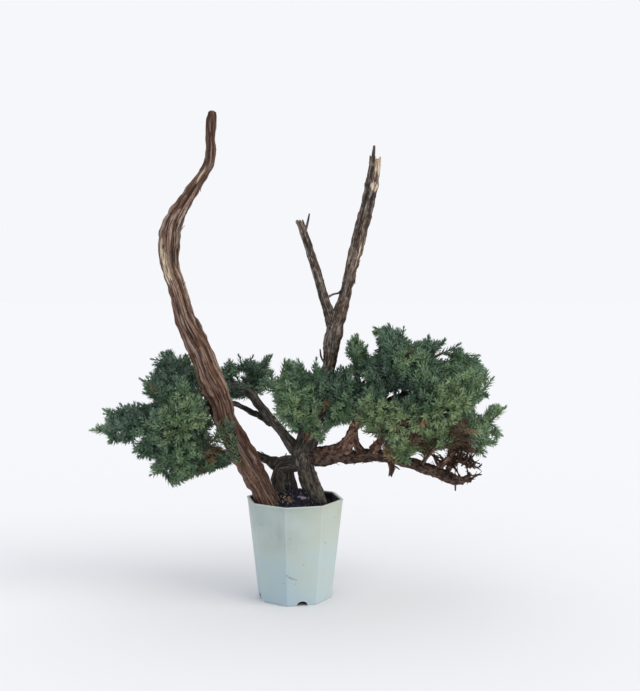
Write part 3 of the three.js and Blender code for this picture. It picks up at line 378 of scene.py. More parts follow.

# Swellings of the bark over the solids' joints: the knuckle where the limbs leave the centre stem,
# the back stem's broken top and heel, the riser's shoulder and heel, and a crust along the right
# limb. The last is a thin near-black limb along the tall stem's left side.
limbs.update({
    "stemKnuckle": [[27, 8, 116, 8], [22, 6, 131, 10.6], [16, 3, 145, 10.6], [13, 2, 156, 10.8],
                    [11, 0, 168, 13.2], [10, -1, 178, 14.4], [14, -2, 190, 13.4], [18, -1, 201, 12.2],
                    [22, 2, 212, 9.6], [26, 5, 224, 6]],
    "backStump": [[-8, 18, 84, 14], [-12, 22, 110, 15], [-15, 22, 127, 14.4], [-16, 21, 142, 13.6],
                  [-15, 19, 151, 12.4], [-14, 18, 157, 11.0]],
    "backHeel": [[5, 15, 104, 7], [0, 16, 120, 6.2], [-3, 17, 136, 5.6], [-6, 18, 150, 4]],
    "riserShoulder": [[20, -4, 174, 7], [34, -8, 179, 7.2], [48, -12, 183, 7], [60, -14, 190, 6.2],
                      [68, -15, 201, 4.8], [73, -16, 212, 3.6]],
    "riserHeel": [[88, -13, 176, 4.6], [79, -15, 184, 5.2], [74, -16, 194, 4.8], [73, -17, 206, 4]],
    "limbCrust": [[148, -9, 163, 5], [160, -7, 158, 6], [174, -5, 153, 6.2], [186, -3, 147, 5.6],
                  [197, 0, 142, 4.6], [207, 2, 140, 3.2]],
    "huggingTwig": [[-111, -4, 258, 1.6], [-106, -10, 244, 2.6], [-98, -15, 226, 3.0],
                    [-90, -17, 209, 2.7], [-84, -17, 196, 1.8]],
})

# Bleached wood where the bark is gone: the limb, the place on it, its half length and half width.
barePatches = [
    {"limb": "tallStem", "place": (-153, -15.5, 402), "long": 19, "wide": 5.2},
    {"limb": "tallStem", "place": (-158, -11, 425), "long": 14, "wide": 2.8},
    {"limb": "tallStem", "place": (-146, -13, 463), "long": 15, "wide": 1.5},
    {"limb": "tallStem", "place": (-112, -6, 514), "long": 12, "wide": 1.3},
    {"limb": "tallStem", "place": (-137, -28, 366), "long": 16, "wide": 1.0},
    {"limb": "riser", "place": (68, -20, 188), "long": 3.5, "wide": 2.4},
    {"limb": "centreStem", "place": (102, -8.5, 527), "long": 15, "wide": 5.6},
    {"limb": "centreStem", "place": (97, -8, 500), "long": 5.5, "wide": 6.5},
    {"limb": "centreStem", "place": (79, -2, 421), "long": 18, "wide": 1.4},
]


# Points evenly along a centripetal Catmull-Rom curve through the given points, with radii.
def smoothPath(points, step):
    places = np.array([p[:3] for p in points], float)
    radii = [p[3] if len(p) > 3 else 1.0 for p in points]
    ends = np.vstack([2 * places[0] - places[1], places, 2 * places[-1] - places[-2]])
    path = []
    for i in range(len(points) - 1):
        before, start, end, after = ends[i:i + 4]
        gaps = [math.sqrt(np.linalg.norm(b - a)) for a, b in zip(ends[i:i + 3], ends[i + 1:i + 4])]
        slopeIn = ((start - before) / gaps[0] - (end - before) / (gaps[0] + gaps[1])
                   + (end - start) / gaps[1]) * gaps[1]
        slopeOut = ((end - start) / gaps[1] - (after - start) / (gaps[1] + gaps[2])
                    + (after - end) / gaps[2]) * gaps[1]
        steps = max(1, round(np.linalg.norm(end - start) / step))
        for k in range(steps + (i == len(points) - 2)):
            t = k / steps
            place = (start + slopeIn * t + (3 * (end - start) - 2 * slopeIn - slopeOut) * t * t
                     + (2 * (start - end) + slopeIn + slopeOut) * t ** 3)
            path.append((*place, radii[i] + (radii[i + 1] - radii[i]) * t))
    return np.array(path)


def stepLengths(path):
    return np.linalg.norm(np.diff(path, axis=0), axis=1)


# A direction well away from the given one.
def awayFrom(direction):
    return np.array([0, 0, 1.0]) if abs(direction[2]) < 0.9 else np.array([1.0, 0, 0])


# Directions along a path, and two turning-free directions square to each.
def framesAlong(places):
    along = np.gradient(places, axis=0)
    along /= np.linalg.norm(along, axis=1)[:, None]
    across = [np.cross(awayFrom(along[0]), along[0])]
    for direction in along[1:]:
        carried = across[-1] - direction * np.dot(across[-1], direction)
        across.append(carried)
    across = np.array([a / np.linalg.norm(a) for a in across])
    return along, across, np.cross(along, across)


# One limb as a closed tube of furrowed bark: points, faces and what the bark material reads.
def barkTube(name, seed):
    points = limbs[name]
    look = limbLooks[looksLike.get(name, name if name in limbLooks else "twig")]
    widest = max(p[3] for p in points)
    thick = widest > bark["twigRadius"]
    path = smoothPath(points, bark["alongStep"] if thick else bark["twigAlongStep"])
    places, radii = path[:, :3], path[:, 3]
    direction, across, over = framesAlong(places)
    along = np.concatenate([[0], np.cumsum(stepLengths(places))])
    roundStep = bark["roundStep"] if thick else bark["twigRoundStep"]
    sides = int(np.clip(round(2 * math.pi * radii.mean() / roundStep), 8, 120))
    angle = np.arange(sides) * 2 * math.pi / sides
    a, s = np.meshgrid(angle, along)
    r = np.repeat(radii[:, None], sides, 1)

    girth = 2 * math.pi * radii.mean()
    turn = (a + s * bark["grainTwist"]) / (2 * math.pi)
    flaky = look.get("flaky", 0)

    # rounded ridges side by side along the limb; their furrows wander, deepen and die out
    def ridges(kind, shift):
        count = max(4, round(girth / bark[kind + "Width"]))
        length = bark[kind + "Length"]
        wander = LatticeNoise(seed + shift, 4).at(turn * 4, s / length) - 0.5
        furrow = np.abs(2 * ((turn * count + bark[kind + "Sway"] * wander) % 1) - 1)
        fade = LatticeNoise(seed + shift + 1, count).at(turn * count, s / length)
        return 1 - furrow ** bark[kind + "Sharp"] * smoothStep(0.2, 0.6, fade)

    fibres = max(6, round(girth / bark["fibreWidth"]))
    fibre = LatticeNoise(seed + 5, fibres).at(turn * fibres, s / bark["fibreLength"])
    columns = max(4, round(girth / bark["plateWidth"]))
    flakes = np.random.default_rng(seed + 6).random((columns, bark["flakeRows"]))
    drift = LatticeNoise(seed + 7, 5).at(turn * 5, s / bark["driftLength"]) - 0.5
    column = np.floor(turn * columns + bark["driftReach"] * drift).astype(int) % columns
    row = np.floor(s / bark["plateLength"] + 9 * flakes[column, 0] + drift).astype(int) + 20
    plate = flakes[column, row]
    height = (bark["ropeShare"] * ridges("rope", 1) + bark["stripShare"] * ridges("strip", 3)
              + bark["fibreShare"] * fibre + bark["plateShare"] * plate)
    scales = max(5, round(girth / bark["flakeWidth"]))
    scale = LatticeNoise(seed + 10, scales).at(turn * scales + 2 * drift, s / bark["flakeLength"] + drift)
    height += flaky * (bark["scaleLift"] * smoothStep(0.4, 0.6, scale) - bark["scaleCover"] * height)
    share = s / along[-1]
    warm, light, relief = (np.interp(share, np.linspace(0, 1, len(steps)), steps)
                           for steps in (look["warm"], look["light"], look.get("relief", (1, 1))))
    contrast = bark["contrast"] * relief * (1 - 0.25 * flaky)
    middle = bark["middleHeight"] - 0.06 * flaky
    height = np.clip(middle + contrast * (height - height.mean()) / height.std(), 0, 1)
    knob = LatticeNoise(seed + 8, 3).at(a * 3 / (2 * math.pi), s / bark["knobLength"]) - 0.5
    lump = LatticeNoise(seed + 9, 6).at(a * 6 / (2 * math.pi), s / bark["lumpLength"]) - 0.5

    bare = np.zeros_like(r)
    spokes = across[:, None] * np.cos(a)[..., None] + over[:, None] * np.sin(a)[..., None]
    surface = places[:, None] + r[..., None] * spokes
    for patch in barePatches:
        if patch["limb"] != name:
            continue
        offset = surface - np.array(patch["place"], float)
        nearest = np.argmin(np.linalg.norm(places - patch["place"], axis=1))
        lengthwise = offset @ direction[nearest]
        sideways = np.sqrt(np.maximum((offset ** 2).sum(-1) - lengthwise ** 2, 0))
        wobble = fibre - 0.5 + 0.4 * (plate - 0.5)
        reach = np.sqrt((lengthwise / patch["long"]) ** 2 + (sideways / patch["wide"]) ** 2) + wobble
        bare = np.maximum(bare, 1 - smoothStep(*bark["bareEdge"], reach))
    height = height * (1 - bare) + bare * (bark["bareHeight"] + bark["bareGrain"] * fibre)

    ribs = sum(much * np.sin(count * a + s * bark["twistPerMm"] * twist + phase)
               for count, twist, phase, much in bark["flutes"])
    flute = 1 + (bark["fluteDepth"] * ribs if thick else 0)
    depth = np.minimum(bark["furrowShare"] * r, bark["furrowMost"])
    if look.get("rooted"):
        swell = 1
    else:
        swell = 1 + bark["collar"] * np.exp(-((s / (bark["collarLength"] * radii[0])) ** 2))
        swell = swell * (0.3 + 0.7 * smoothStep(0, bark["rootTaper"] * radii[0], s))
    knobs = 1 + 2 * bark["knobDepth"] * knob + 2 * bark["lumpDepth"] * (1 + flaky) * lump
    r = r * flute * swell * knobs + (height - 0.6) * depth

    rim = np.zeros(sides)
    if look.get("ragged"):
        ragged = LatticeNoise(seed + 5, fibres).at(angle * fibres / (2 * math.pi), np.zeros(sides))
        rim = (ragged - 0.45) * 2 * look.get("splinter", bark["splinter"]) * radii[-1]
    nearEnd = smoothStep(along[-1] - bark["endLength"] * radii[-1], along[-1], s)
    if look.get("blunt"):
        r *= 1 - bark["blunt"] * nearEnd ** 3
    skin = places[:, None] + direction[:, None] * (nearEnd * rim)[..., None] + r[..., None] * spokes
    rings = len(places)
    inset = skin[-1] * 0.45 + places[-1] * 0.55 + direction[-1] * (0.3 * radii[-1] - 0.8 * rim.max())
    verts = np.vstack([skin.reshape(-1, 3), inset, places[:1], inset.mean(0)[None]])
    last, foot, peak = rings * sides, (rings + 1) * sides, (rings + 1) * sides + 1
    caps = [[foot, (k + 1) % sides, k] for k in range(sides)]
    caps += [[last + k, last + (k + 1) % sides, peak] for k in range(sides)]

    def spread(values, end):     # one value a point, the cap's points last
        return np.concatenate([values.ravel(), np.full(sides + 2, float(end))])

    broken = bool(look.get("ragged"))
    wound = a + s * bark["grainTwist"]
    drawn = s * (bark["grainDraw"] + bark["flakyDraw"] * flaky) + seed * 37.0    # own grain a limb
    grain = np.stack([r * np.cos(wound), r * np.sin(wound), drawn], -1)
    endGrain = np.vstack([grain.reshape(-1, 3), grain[-1], [[0, 0, 0]], [[0, 0, s[-1][0]]]])
    tube = {
        "verts": verts, "faces": ringFaces(rings + 1, sides) + caps,
        "barkHeight": spread(height, 0.3), "warm": spread(warm, look["warm"][-1]),
        "light": spread(light, look["light"][-1]), "bareWood": spread(bare, 0.75 if broken else 0.1),
        "grain": endGrain,
    }
    shreds = round(look.get("shreds", 0) * along[-1] / 100)
    return withShreds(tube, skin, skin - places[:, None], direction, shreds, seed)


# Loose shreds of bark that lift off a limb: thin closed strips, rooted just under its skin.
def withShreds(tube, skin, outward, direction, count, seed):
    chance = random.Random(seed)
    sides = skin.shape[1]
    shredFaces = ringFaces(4, 4) + [[3, 2, 1, 0], [12, 13, 14, 15]]
    verts, faces = list(tube["verts"]), list(tube["faces"])
    extra = {key: [] for key in ("barkHeight", "warm", "light", "bareWood", "grain")}
    for _ in range(count):
        ring, side = chance.randrange(1, len(skin) - 2), chance.randrange(sides)
        out = outward[ring, side] / np.linalg.norm(outward[ring, side])
        ahead = direction[ring] * chance.choice((-1, 1))
        across = np.cross(out, ahead)
        length = bark["shredLength"] * (0.5 + chance.random())
        width = bark["shredWidth"] * (0.6 + 0.8 * chance.random()) / 2
        lift, swerve = 0.5 * length * chance.random() ** 1.5, length * 0.5 * (chance.random() - 0.5)
        thick = bark["shredThickness"] / 2
        start = len(verts)
        for share in (0, 0.35, 0.7, 1.0):
            centre = (skin[ring, side] - out * (0.5 - 0.6 * share) + ahead * length * share
                      + out * lift * share ** 2 + across * swerve * share ** 2)
            half = width * (1 - 0.65 * share ** 2)
            verts += [centre + across * half + out * thick, centre - across * half + out * thick,
                      centre - across * half - out * thick, centre + across * half - out * thick]
        faces += [[start + corner for corner in face] for face in shredFaces]
        near = ring * sides + side
        for key, values in extra.items():
            values += [tube[key][near]] * 16
        extra["barkHeight"][-16:] = [0.35 + 0.4 * chance.random()] * 16
    if not count:
        return tube
    joined = {key: np.concatenate([tube[key], np.array(values)]) for key, values in extra.items()}
    return {"verts": np.array(verts), "faces": faces, **joined}


# Several limbs in one piece, each a closed skin of its own.
def barkPiece(name, limbNames, firstSeed):
    tubes = [barkTube(limb, firstSeed + 10 * i) for i, limb in enumerate(limbNames)]
    faces, start = [], 0
    for tube in tubes:
        faces += [[start + corner for corner in face] for face in tube["faces"]]
        start += len(tube["verts"])
    attributes = {key: np.concatenate([tube[key] for tube in tubes])
                  for key in ("barkHeight", "warm", "light", "bareWood", "grain")}
    return meshPiece(name, np.vstack([tube["verts"] for tube in tubes]), faces, attributes)


# Juniper bark: grey to pinkish brown fibrous strips over dark reddish furrows, which the colour
# darkens further as painted shade, dry and dull, with bleached deadwood where it has come off. The
# grain attribute is in millimetres, with the limb's length drawn in, so one noise gives long fibres.
def juniperBark():
    material, add, _ = startMaterial("juniperBark")
    grain = add("ShaderNodeAttribute", output="Vector", attribute_name="grain")
    height, warm, light, bare = (
        add("ShaderNodeAttribute", output="Fac", attribute_name=name)
        for name in ("barkHeight", "warm", "light", "bareWood"))
    fibre, blotch = (
        add("ShaderNodeTexNoise",
            {"Vector": grain, "Scale": scale, "Detail": detail, "Roughness": rough}, "Fac")
        for scale, detail, rough in ((0.75, 5, 0.62), (0.16, 3, 0.5)))
    ridge = add("ShaderNodeMath", (fibre, 0.5), operation="SUBTRACT")
    level = add("ShaderNodeMath", (ridge, 1.3, height), operation="MULTIPLY_ADD", use_clamp=True)
    # the ramps by height run from near-black furrows, their own dark colour and painted shade, up to pale
    # ridges
    greyBark = add("ShaderNodeValToRGB", (level,),
                   stops=[(0.12, "#110f0f"), (0.38, "#3a3631"), (0.62, "#6b645b"), (0.9, "#b3aaa0")])
    warmBark = add("ShaderNodeValToRGB", (level,),
                   stops=[(0.12, "#170a08"), (0.38, "#55301f"), (0.62, "#865f4b"), (0.9, "#b59c8c")])
    uneven = add("ShaderNodeMath", (blotch, 0.5), operation="SUBTRACT")
    warmth = add("ShaderNodeMath", (uneven, 1.8, warm), operation="MULTIPLY_ADD", use_clamp=True)
    shade = add("ShaderNodeMath", (light, 1.35, 0.1), operation="MULTIPLY_ADD")
    colour = add("ShaderNodeMix", {0: warmth, 6: greyBark, 7: warmBark}, 2, data_type="RGBA")
    ochre = add("ShaderNodeMapRange", (blotch, 0.56, 0.76, 0, 0.45))
    dead = add("ShaderNodeValToRGB", (fibre,),
               stops=[(0.36, "#5f4b3a"), (0.5, "#b9a489"), (0.64, "#e0d3bd")])
    for factor, layer, blend in ((ochre, linearColour("#8a7650"), "MIX"),
                                 (1.0, add("ShaderNodeCombineColor", (shade, shade, shade)), "MULTIPLY"),
                                 (bare, dead, "MIX")):
        colour = add("ShaderNodeMix", {0: factor, 6: colour, 7: layer}, 2,
                     data_type="RGBA", blend_type=blend)
    return endMaterial(material, {
        "Base Color": colour, "IOR": 1.45,
        "Roughness": add("ShaderNodeMath", (fibre, 0.25, 0.72), operation="MULTIPLY_ADD"),
        "Normal": add("ShaderNodeBump", {"Strength": 0.8, "Distance": 0.0006, "Height": fibre})})


# Short dead twigs, knotted together above the right limb's end: the limbs that they start from,
# their lengths and radii, and the headings that they leave with.
thicket = {"seed": 4, "twigs": 44, "from": ("endRiser", "endStubRoot", "endStub", "rightLimb"),
           "length": (12, 28), "radius": (1.0, 2.1), "heading": ((-0.6, 0.9), (-0.9, 0.5), (-0.2, 1))}


def growThicket():
    chance = random.Random(thicket["seed"])
    for number in range(thicket["twigs"]):
        limb = limbs[chance.choice(thicket["from"])]
        spot = chance.randrange(max(0, len(limb) - 4), len(limb) - 1)
        share = chance.random()
        start = np.array(limb[spot][:3]) * (1 - share) + np.array(limb[spot + 1][:3]) * share
        points = []
        heading = np.array([chance.uniform(*span) for span in thicket["heading"]])
        radius = chance.uniform(*thicket["radius"])
        step = chance.uniform(*thicket["length"]) / 3
        for k in range(4):
            points.append([*start, radius * (1 - 0.2 * k)])
            heading = heading / np.linalg.norm(heading)
            start = start + heading * step
            heading = heading + np.array([chance.uniform(-0.7, 0.7) for _ in range(3)])
        limbs["endTwig%02d" % number] = points
        looksLike["endTwig%02d" % number] = "endTwig"


growThicket()
woodPieces = {
    "tallStem": ["tallStem"],
    "centreStem": ["centreStem", "snagFork", "snagSpike", "forkTwig", "hookTwig", "baseTwig"],
    "rootsAndLimbs": [
        "rootCrown", "backStem", "backStump", "stemKnuckle", "lowLeftLimb", "archUpper", "archLower",
        "rightLimb", "limbCrust", "riserShoulder", "riserHeel", "backHeel", "backNubLeft",
        "backNubRight", "dropStub", "dropTwig", "endStub", "endStubRoot", "forkStub", "hangTwig",
        "riserNub"],
}
woodPieces["risersAndTwigs"] = [
    limb for limb in limbs if all(limb not in names for names in woodPieces.values())]

barkMaterial = juniperBark()
for number, (pieceName, limbNames) in enumerate(woodPieces.items()):
    piece = barkPiece(pieceName, limbNames, 1000 * (number + 1))
    piece.data.materials.append(barkMaterial)
    settle(piece, "juniper_bark", "wood")
    print("bark made:", pieceName, len(piece.data.polygons), "faces")


# Where each spray grows from the wood, and the tips of its leading shoots.
sprays = {
    "leftCrown": {"root": [-146, 8, 280], "tips": [[-164, 2, 302], [-152, 8, 305], [-179, 10, 292]]},
    "leftInner": {"root": [-115, 25, 247], "tips": [[-119, 22, 282], [-134, 16, 298]]},
    "leftOuter": {"root": [-137, 12, 236], "tips": [[-191, 4, 269], [-185, -12, 253]]},
    "leftBack": {"root": [-147, 50, 262], "tips": [[-162, 50, 285], [-184, 58, 254]]},
    "leftFront": {"root": [-146, -26, 209], "tips": [[-115, -46, 243], [-169, -48, 231]]},
    "leftFarHigh": {"root": [-187, 0, 205], "tips": [[-215, 6, 238], [-235, -4, 233]]},
    "leftFarTip": {"root": [-209, 2, 206], "tips": [[-254, 8, 204], [-224, -8, 189]]},
    "leftFarBack": {"root": [-168, 4, 205], "tips": [[-204, 42, 220]]},
    "leftFarFront": {"root": [-177, 2, 205], "tips": [[-199, -36, 213]]},
    "leftLowOuter": {"root": [-166, 5, 205], "tips": [[-191, -6, 172]]},
    "leftLow": {"root": [-161, 2, 161], "tips": [[-179, 8, 148], [-148, 0, 134]]},
    "leftLowFront": {"root": [-137, 8, 183], "tips": [[-140, -40, 173]]},
    "leftLowBack": {"root": [-157, 44, 179], "tips": [[-188, 62, 168], [-146, 58, 153]]},
    "leftLowInner": {"root": [-101, 19, 171], "tips": [[-111, -2, 153]]},
    "stemSprig": {"root": [-111, 16, 176], "tips": [[-73, -46, 219]], "by": [-112, -34, 186]},

    "backLeftLow": {"root": [-68, 44, 254], "tips": [[-85, 46, 290]]},
    "backLeftHigh": {"root": [-64, 62, 271], "tips": [[-74, 60, 296], [-54, 68, 294], [-47, 84, 279]]},
    "backLeftRight": {"root": [-57, 42, 248], "tips": [[-29, 40, 296]]},

    "middleLeft": {"root": [-12, -18, 251], "tips": [[-37, -14, 269], [-11, -20, 296]]},
    "middleLeftLow": {"root": [2, -21, 242], "tips": [[-25, -30, 235]]},
    "middleTop": {"root": [29, -32, 253], "tips": [[4, -36, 296], [27, -16, 297], [12, -62, 282]]},
    "middleFront": {"root": [5, -46, 233], "tips": [[-6, -78, 246], [-11, -58, 214]]},
    "middleLow": {"root": [20, -20, 215], "tips": [[33, -46, 198]]},
    "middleRight": {"root": [60, -14, 253], "tips": [[69, -22, 276]]},
    "middleRightLow": {"root": [48, -16, 239], "tips": [[62, -30, 220], [50, -60, 256]]},
    "middleRear": {"root": [13, 44, 258], "tips": [[-5, 70, 271], [44, 66, 256]]},

    "topLeft": {"root": [75, -17, 280], "tips": [[76, -14, 324], [62, -28, 307]]},
    "top": {"root": [133, -8, 311], "tips": [[114, 4, 336], [132, -14, 334], [94, -8, 332]]},
    "topRight": {"root": [156, -12, 288], "tips": [[163, -4, 323], [183, -10, 319]]},
    "rightHigh": {"root": [176, -6, 299], "tips": [[204, 6, 312], [227, 0, 297]]},
    "rightTip": {"root": [219, -19, 246], "tips": [[244, 0, 272], [229, -40, 250]]},
    "rightFar": {"root": [232, -12, 214], "tips": [[256, -16, 237], [255, -4, 197]]},
    "rightUnder": {"root": [214, -5, 197], "tips": [[232, -14, 174]]},
    "rightLowFront": {"root": [167, -30, 188], "tips": [[185, -58, 202]]},
    "rightLowMid": {"root": [128, -13, 170], "tips": [[136, -47, 186]]},
    "rightLowLeft": {"root": [103, -37, 208], "tips": [[81, -50, 212]]},
    "frontLeft": {"root": [105, -54, 234], "tips": [[90, -80, 260]]},
    "frontMid": {"root": [135, -42, 221], "tips": [[122, -82, 247]]},
    "frontRight": {"root": [156, -40, 229], "tips": [[163, -78, 265]]},
    "frontFar": {"root": [179, -32, 234], "tips": [[195, -68, 250]]},
    "topFront": {"root": [127, -22, 272], "tips": [[126, -58, 300]]},
    "backInner": {"root": [108, 18, 236], "tips": [[89, 46, 263]]},
    "backTop": {"root": [154, 58, 279], "tips": [[134, 72, 307], [184, 80, 299]]},
    "backRight": {"root": [159, 32, 249], "tips": [[186, 72, 255]]},
    "backFar": {"root": [201, 21, 242], "tips": [[239, 46, 250]]},
    "backLow": {"root": [133, 28, 245], "tips": [[146, 56, 205]]},
    "backUnder": {"root": [198, -6, 183], "tips": [[210, 36, 198]]},
}

# What a user may change about the foliage. Lengths are in millimetres, angles in degrees.
foliage = {
    "leafyLength": 27.0, "mostLeafy": 0.75, "bareStep": 18.0,   # of a leading shoot, as in the solids
    "leafyMore": 10.0,         # but here the needles start this much sooner
    "forkShare": 0.6, "forkLean": 55.0, "forkBow": 0.3, "forkEase": 0.4, "sag": 3.0,
    "stemRadius": 1.3, "tipRadius": 0.4, "sideRadius": 0.55, "twigletRadius": 0.5,
    "leadPoints": 25, "leadTone": -0.2,     # a leading shoot's points, and how much darker it is
    "firstSide": 0.2, "lastSide": 5.0,      # share with no side shoots yet, and the end with none
    "sideSpacing": 4.2, "sideLean": 48.0, "sideLength": 18.0, "sprigSide": 9.0,
    "sideLeast": 7.0, "sideTaper": 0.55, "sideBare": 0.16,      # shorter towards the tip
    "firstTwiglet": 4.5, "twigletSpacing": 5.5, "twigletLean": 42.0, "twigletLength": 10.0,
    "twigletLeast": 4.0, "twigletTaper": 0.6, "twigletBare": 0.1,
    "tipSpacing": 8.0,         # between the shoot tips that fill out a pad
    "fringe": 5.2, "sideFringe": 3.2,    # from a pad's outline to those tips and to other side shoots
    "tipMargin": 12.0, "roomPerTry": 60.0,    # round a pad's outline, and the space for each try
    "spikeInset": 3.0, "spikeDepth": 0.3,     # from a main pad's corners to tips of their own
    "leadTrim": 3.5,           # needles stand past a leading shoot's end by this much
    "shootLength": 15.0, "straightness": 10.0, "longest": 36.0,
    "coreDepth": 20.0, "coreShade": 0.3,    # shoots deep inside a pad are painted darker: painted shade
    "thinLimb": 6.4, "limbNear": 60.0,     # limbs that shoots may start from, and how near a spray
    "upturn": 0.3, "turnAhead": 0.3, "turnSway": 0.25,      # which way a side shoot bends over
    "whorlSpacing": 2.5, "needleLength": 8.2, "needleWidth": 1.75, "needleFoot": 0.35,
    # across a needle: share of its length, half width and keel depth by its width, and bend
    "needleRings": ((0, 0.36, 0.34, 0), (0.45, 0.5, 0.36, -0.25)),
    "leastLeaf": 0.3, "closedFrom": 0.9,    # no smaller whorls; share of a shoot with open ones
    "openLean": 44.0, "closedLean": 20.0, "roll": 60.0,
    "bow": 0.16, "droop": 0.05,            # of the shoots that fill a pad, share of their length
    "stemClear": 2.0, "heavyLimb": 4.5,    # between a shoot and the limbs that it grows past
    "besideStem": 5.0, "beforeStem": 6.0,  # no spray's shoots cross the tall stem nearer than this
    "deadShare": 0.75, "strayDead": 0.003,
    "farthest": ((-262, -87, 118), (263, 86, 352)),
}

# The pads of foliage as the camera sees them on the plane y = 0: each one's outline and see-through
# gaps (x, z, radius), its middle depth, half depth, and how far in from the outline it is full.
# Spikes are tips at the outline's corners. The small pads fill thin places: from names their
# sprays, and dead says how pale their shoots are.
pads = {
    "left": {
        "middle": 4, "half": 52, "spikes": True, "fullAt": 22,
        "outline": [
            (-125, 301), (-141, 301), (-155, 307), (-164, 303), (-170, 291), (-179, 294), (-174, 281),
            (-182, 284), (-184, 274), (-191, 269), (-187, 259), (-188, 250), (-179, 242), (-189, 243),
            (-200, 242), (-210, 240), (-217, 234), (-229, 235), (-237, 234), (-236, 219), (-244, 215),
            (-253, 205), (-235, 198), (-230, 185), (-207, 184), (-204, 175), (-194, 167), (-183, 166),
            (-182, 156), (-176, 146), (-157, 146), (-154, 131), (-133, 137), (-112, 148), (-82, 156),
            (-64, 168), (-72, 180), (-90, 186), (-98, 192), (-99, 200), (-96, 208), (-92, 216),
            (-89, 220), (-101, 248), (-113, 277)],
        "gaps": [(-216, 203, 4), (-193, 194, 5), (-174, 167, 4), (-103, 172, 2), (-157, 126, 6)],
    },
    "backLeft": {
        "middle": 56, "half": 28, "spikes": True, "fullAt": 8, "spacing": 5.8, "fringe": 3.0,
        "outline": [
            (-96, 277), (-88, 286), (-84, 291), (-79, 300), (-74, 291), (-69, 289), (-63, 292),
            (-54, 297), (-46, 292), (-40, 294), (-34, 300), (-25, 299), (-29, 285), (-23, 275),
            (-30, 266), (-35, 256), (-36, 246), (-47, 246), (-58, 242), (-70, 240), (-84, 240),
            (-90, 252), (-96, 264)],
        "gaps": [(-70, 269, 5), (-62, 274, 4)],
    },
    "middle": {
        "middle": -8, "half": 68, "spikes": True, "fullAt": 20,
        "outline": [
            (-36, 270), (-24, 274), (-15, 281), (-14, 294), (-6, 295), (1, 295), (5, 291), (11, 289),
            (14, 281), (21, 291), (26, 296), (33, 289), (46, 283), (56, 289), (70, 290), (81, 286),
            (86, 267), (90, 252), (92, 238), (88, 224), (76, 213), (58, 208), (47, 204), (41, 200),
            (40, 190), (33, 183), (24, 187), (12, 195), (-3, 196), (-17, 203), (-29, 226), (-27, 238),
            (-32, 252), (-39, 262)],
        "gaps": [(19, 275, 5), (2, 214, 3), (-13, 209, 4), (40, 229, 3), (36, 219, 3)],
    },
    "right": {
        "middle": 0, "half": 76, "spikes": True, "fullAt": 22,
        "outline": [
            (69, 324), (77, 325), (85, 319), (91, 310), (92, 303), (94, 303), (95, 309), (95, 317),
            (92, 323), (89, 331), (97, 333), (104, 335), (116, 336), (126, 334), (133, 333), (136, 325),
            (144, 319), (153, 319), (160, 323), (166, 323), (170, 317), (184, 320), (186, 312),
            (178, 305), (174, 299), (185, 294), (192, 301), (195, 313), (201, 312), (208, 307),
            (214, 301), (227, 300), (235, 289), (244, 273), (236, 266), (230, 261), (237, 250),
            (231, 238), (227, 234), (224, 231), (227, 229), (232, 233), (238, 239), (250, 241),
            (260, 232), (246, 221), (250, 207), (256, 200), (253, 183), (239, 178), (233, 170),
            (222, 172), (210, 178), (190, 184), (174, 178), (162, 178), (151, 175), (141, 161),
            (132, 157), (120, 162), (106, 169), (100, 182), (94, 194), (85, 200), (70, 205), (58, 220),
            (56, 242), (62, 258), (60, 279), (66, 287), (62, 296), (60, 311)],
        "gaps": [(71, 271, 4), (81, 267, 4), (88, 262, 3), (132, 250, 7), (117, 245, 6), (144, 288, 2),
                 (170, 171, 3), (246, 213, 6), (241, 196, 4), (233, 183, 3)],
    },
    "leftSkirt": {
        "middle": 0, "half": 26, "fullAt": 6, "spacing": 5.6,
        "from": ("leftLowInner", "leftLowBack", "leftLowFront", "leftLow"),
        "outline": [
            (-66, 167), (-71, 184), (-84, 190), (-100, 192), (-120, 192), (-136, 176), (-150, 150),
            (-146, 136), (-133, 139), (-112, 147), (-84, 156)],
        "gaps": [],
    },
    "archTuft": {
        "middle": 24, "half": 14, "fullAt": 5, "spacing": 5.6, "from": ("backLeftLow", "backLeftRight"),
        "outline": [
            (-92, 268), (-80, 272), (-62, 270), (-48, 262), (-52, 250), (-62, 248), (-72, 240),
            (-82, 238), (-90, 250)],
        "gaps": [],
    },
    "brownBand": {
        "middle": -10, "half": 16, "fullAt": 5, "spacing": 6.0, "dead": 0.25,
        "from": ("rightUnder", "rightLowMid"),
        "outline": [(144, 188), (160, 192), (184, 196), (190, 180), (182, 170), (164, 172), (148, 176)],
        "gaps": [],
    },
    "endThicket": {
        "middle": -12, "half": 30, "fullAt": 8, "spacing": 7.0, "dead": 0.15,
        "from": ("rightUnder", "backUnder"),
        "outline": [
            (180, 204), (198, 210), (216, 208), (228, 196), (228, 178), (216, 166), (202, 160),
            (188, 164), (178, 176), (172, 190)],
        "gaps": [],
    },
    "tanTuft": {
        "middle": -30, "half": 14, "fullAt": 8, "spacing": 6.0, "dead": 1.0,
        "from": ("rightLowMid", "rightLowLeft"),
        "outline": [(98, 196), (112, 202), (126, 194), (134, 176), (128, 158), (112, 156), (100, 170)],
        "gaps": [],
    },
}

# Where the foliage catches the light or lies in shade on the plane y = 0: across, up, radius, and
# how much.
lightPlaces = [
    (99, 220, 26, 0.85), (192, 246, 26, 0.35), (216, 280, 24, 0.4), (-138, 228, 28, 0.25),
    (-6, 260, 20, 0.1), (146, 196, 28, 0.75), (150, 262, 26, -0.6), (47, 254, 22, -0.4),
    (-150, 276, 24, -0.3), (-206, 216, 26, -0.5), (-60, 272, 26, -0.3), (106, 270, 24, -0.4),
    (-100, 160, 26, -0.25), (-152, 168, 36, -0.45), (0, 206, 24, -0.2), (78, 306, 22, 0.2),
    (150, 292, 22, 0.1)]

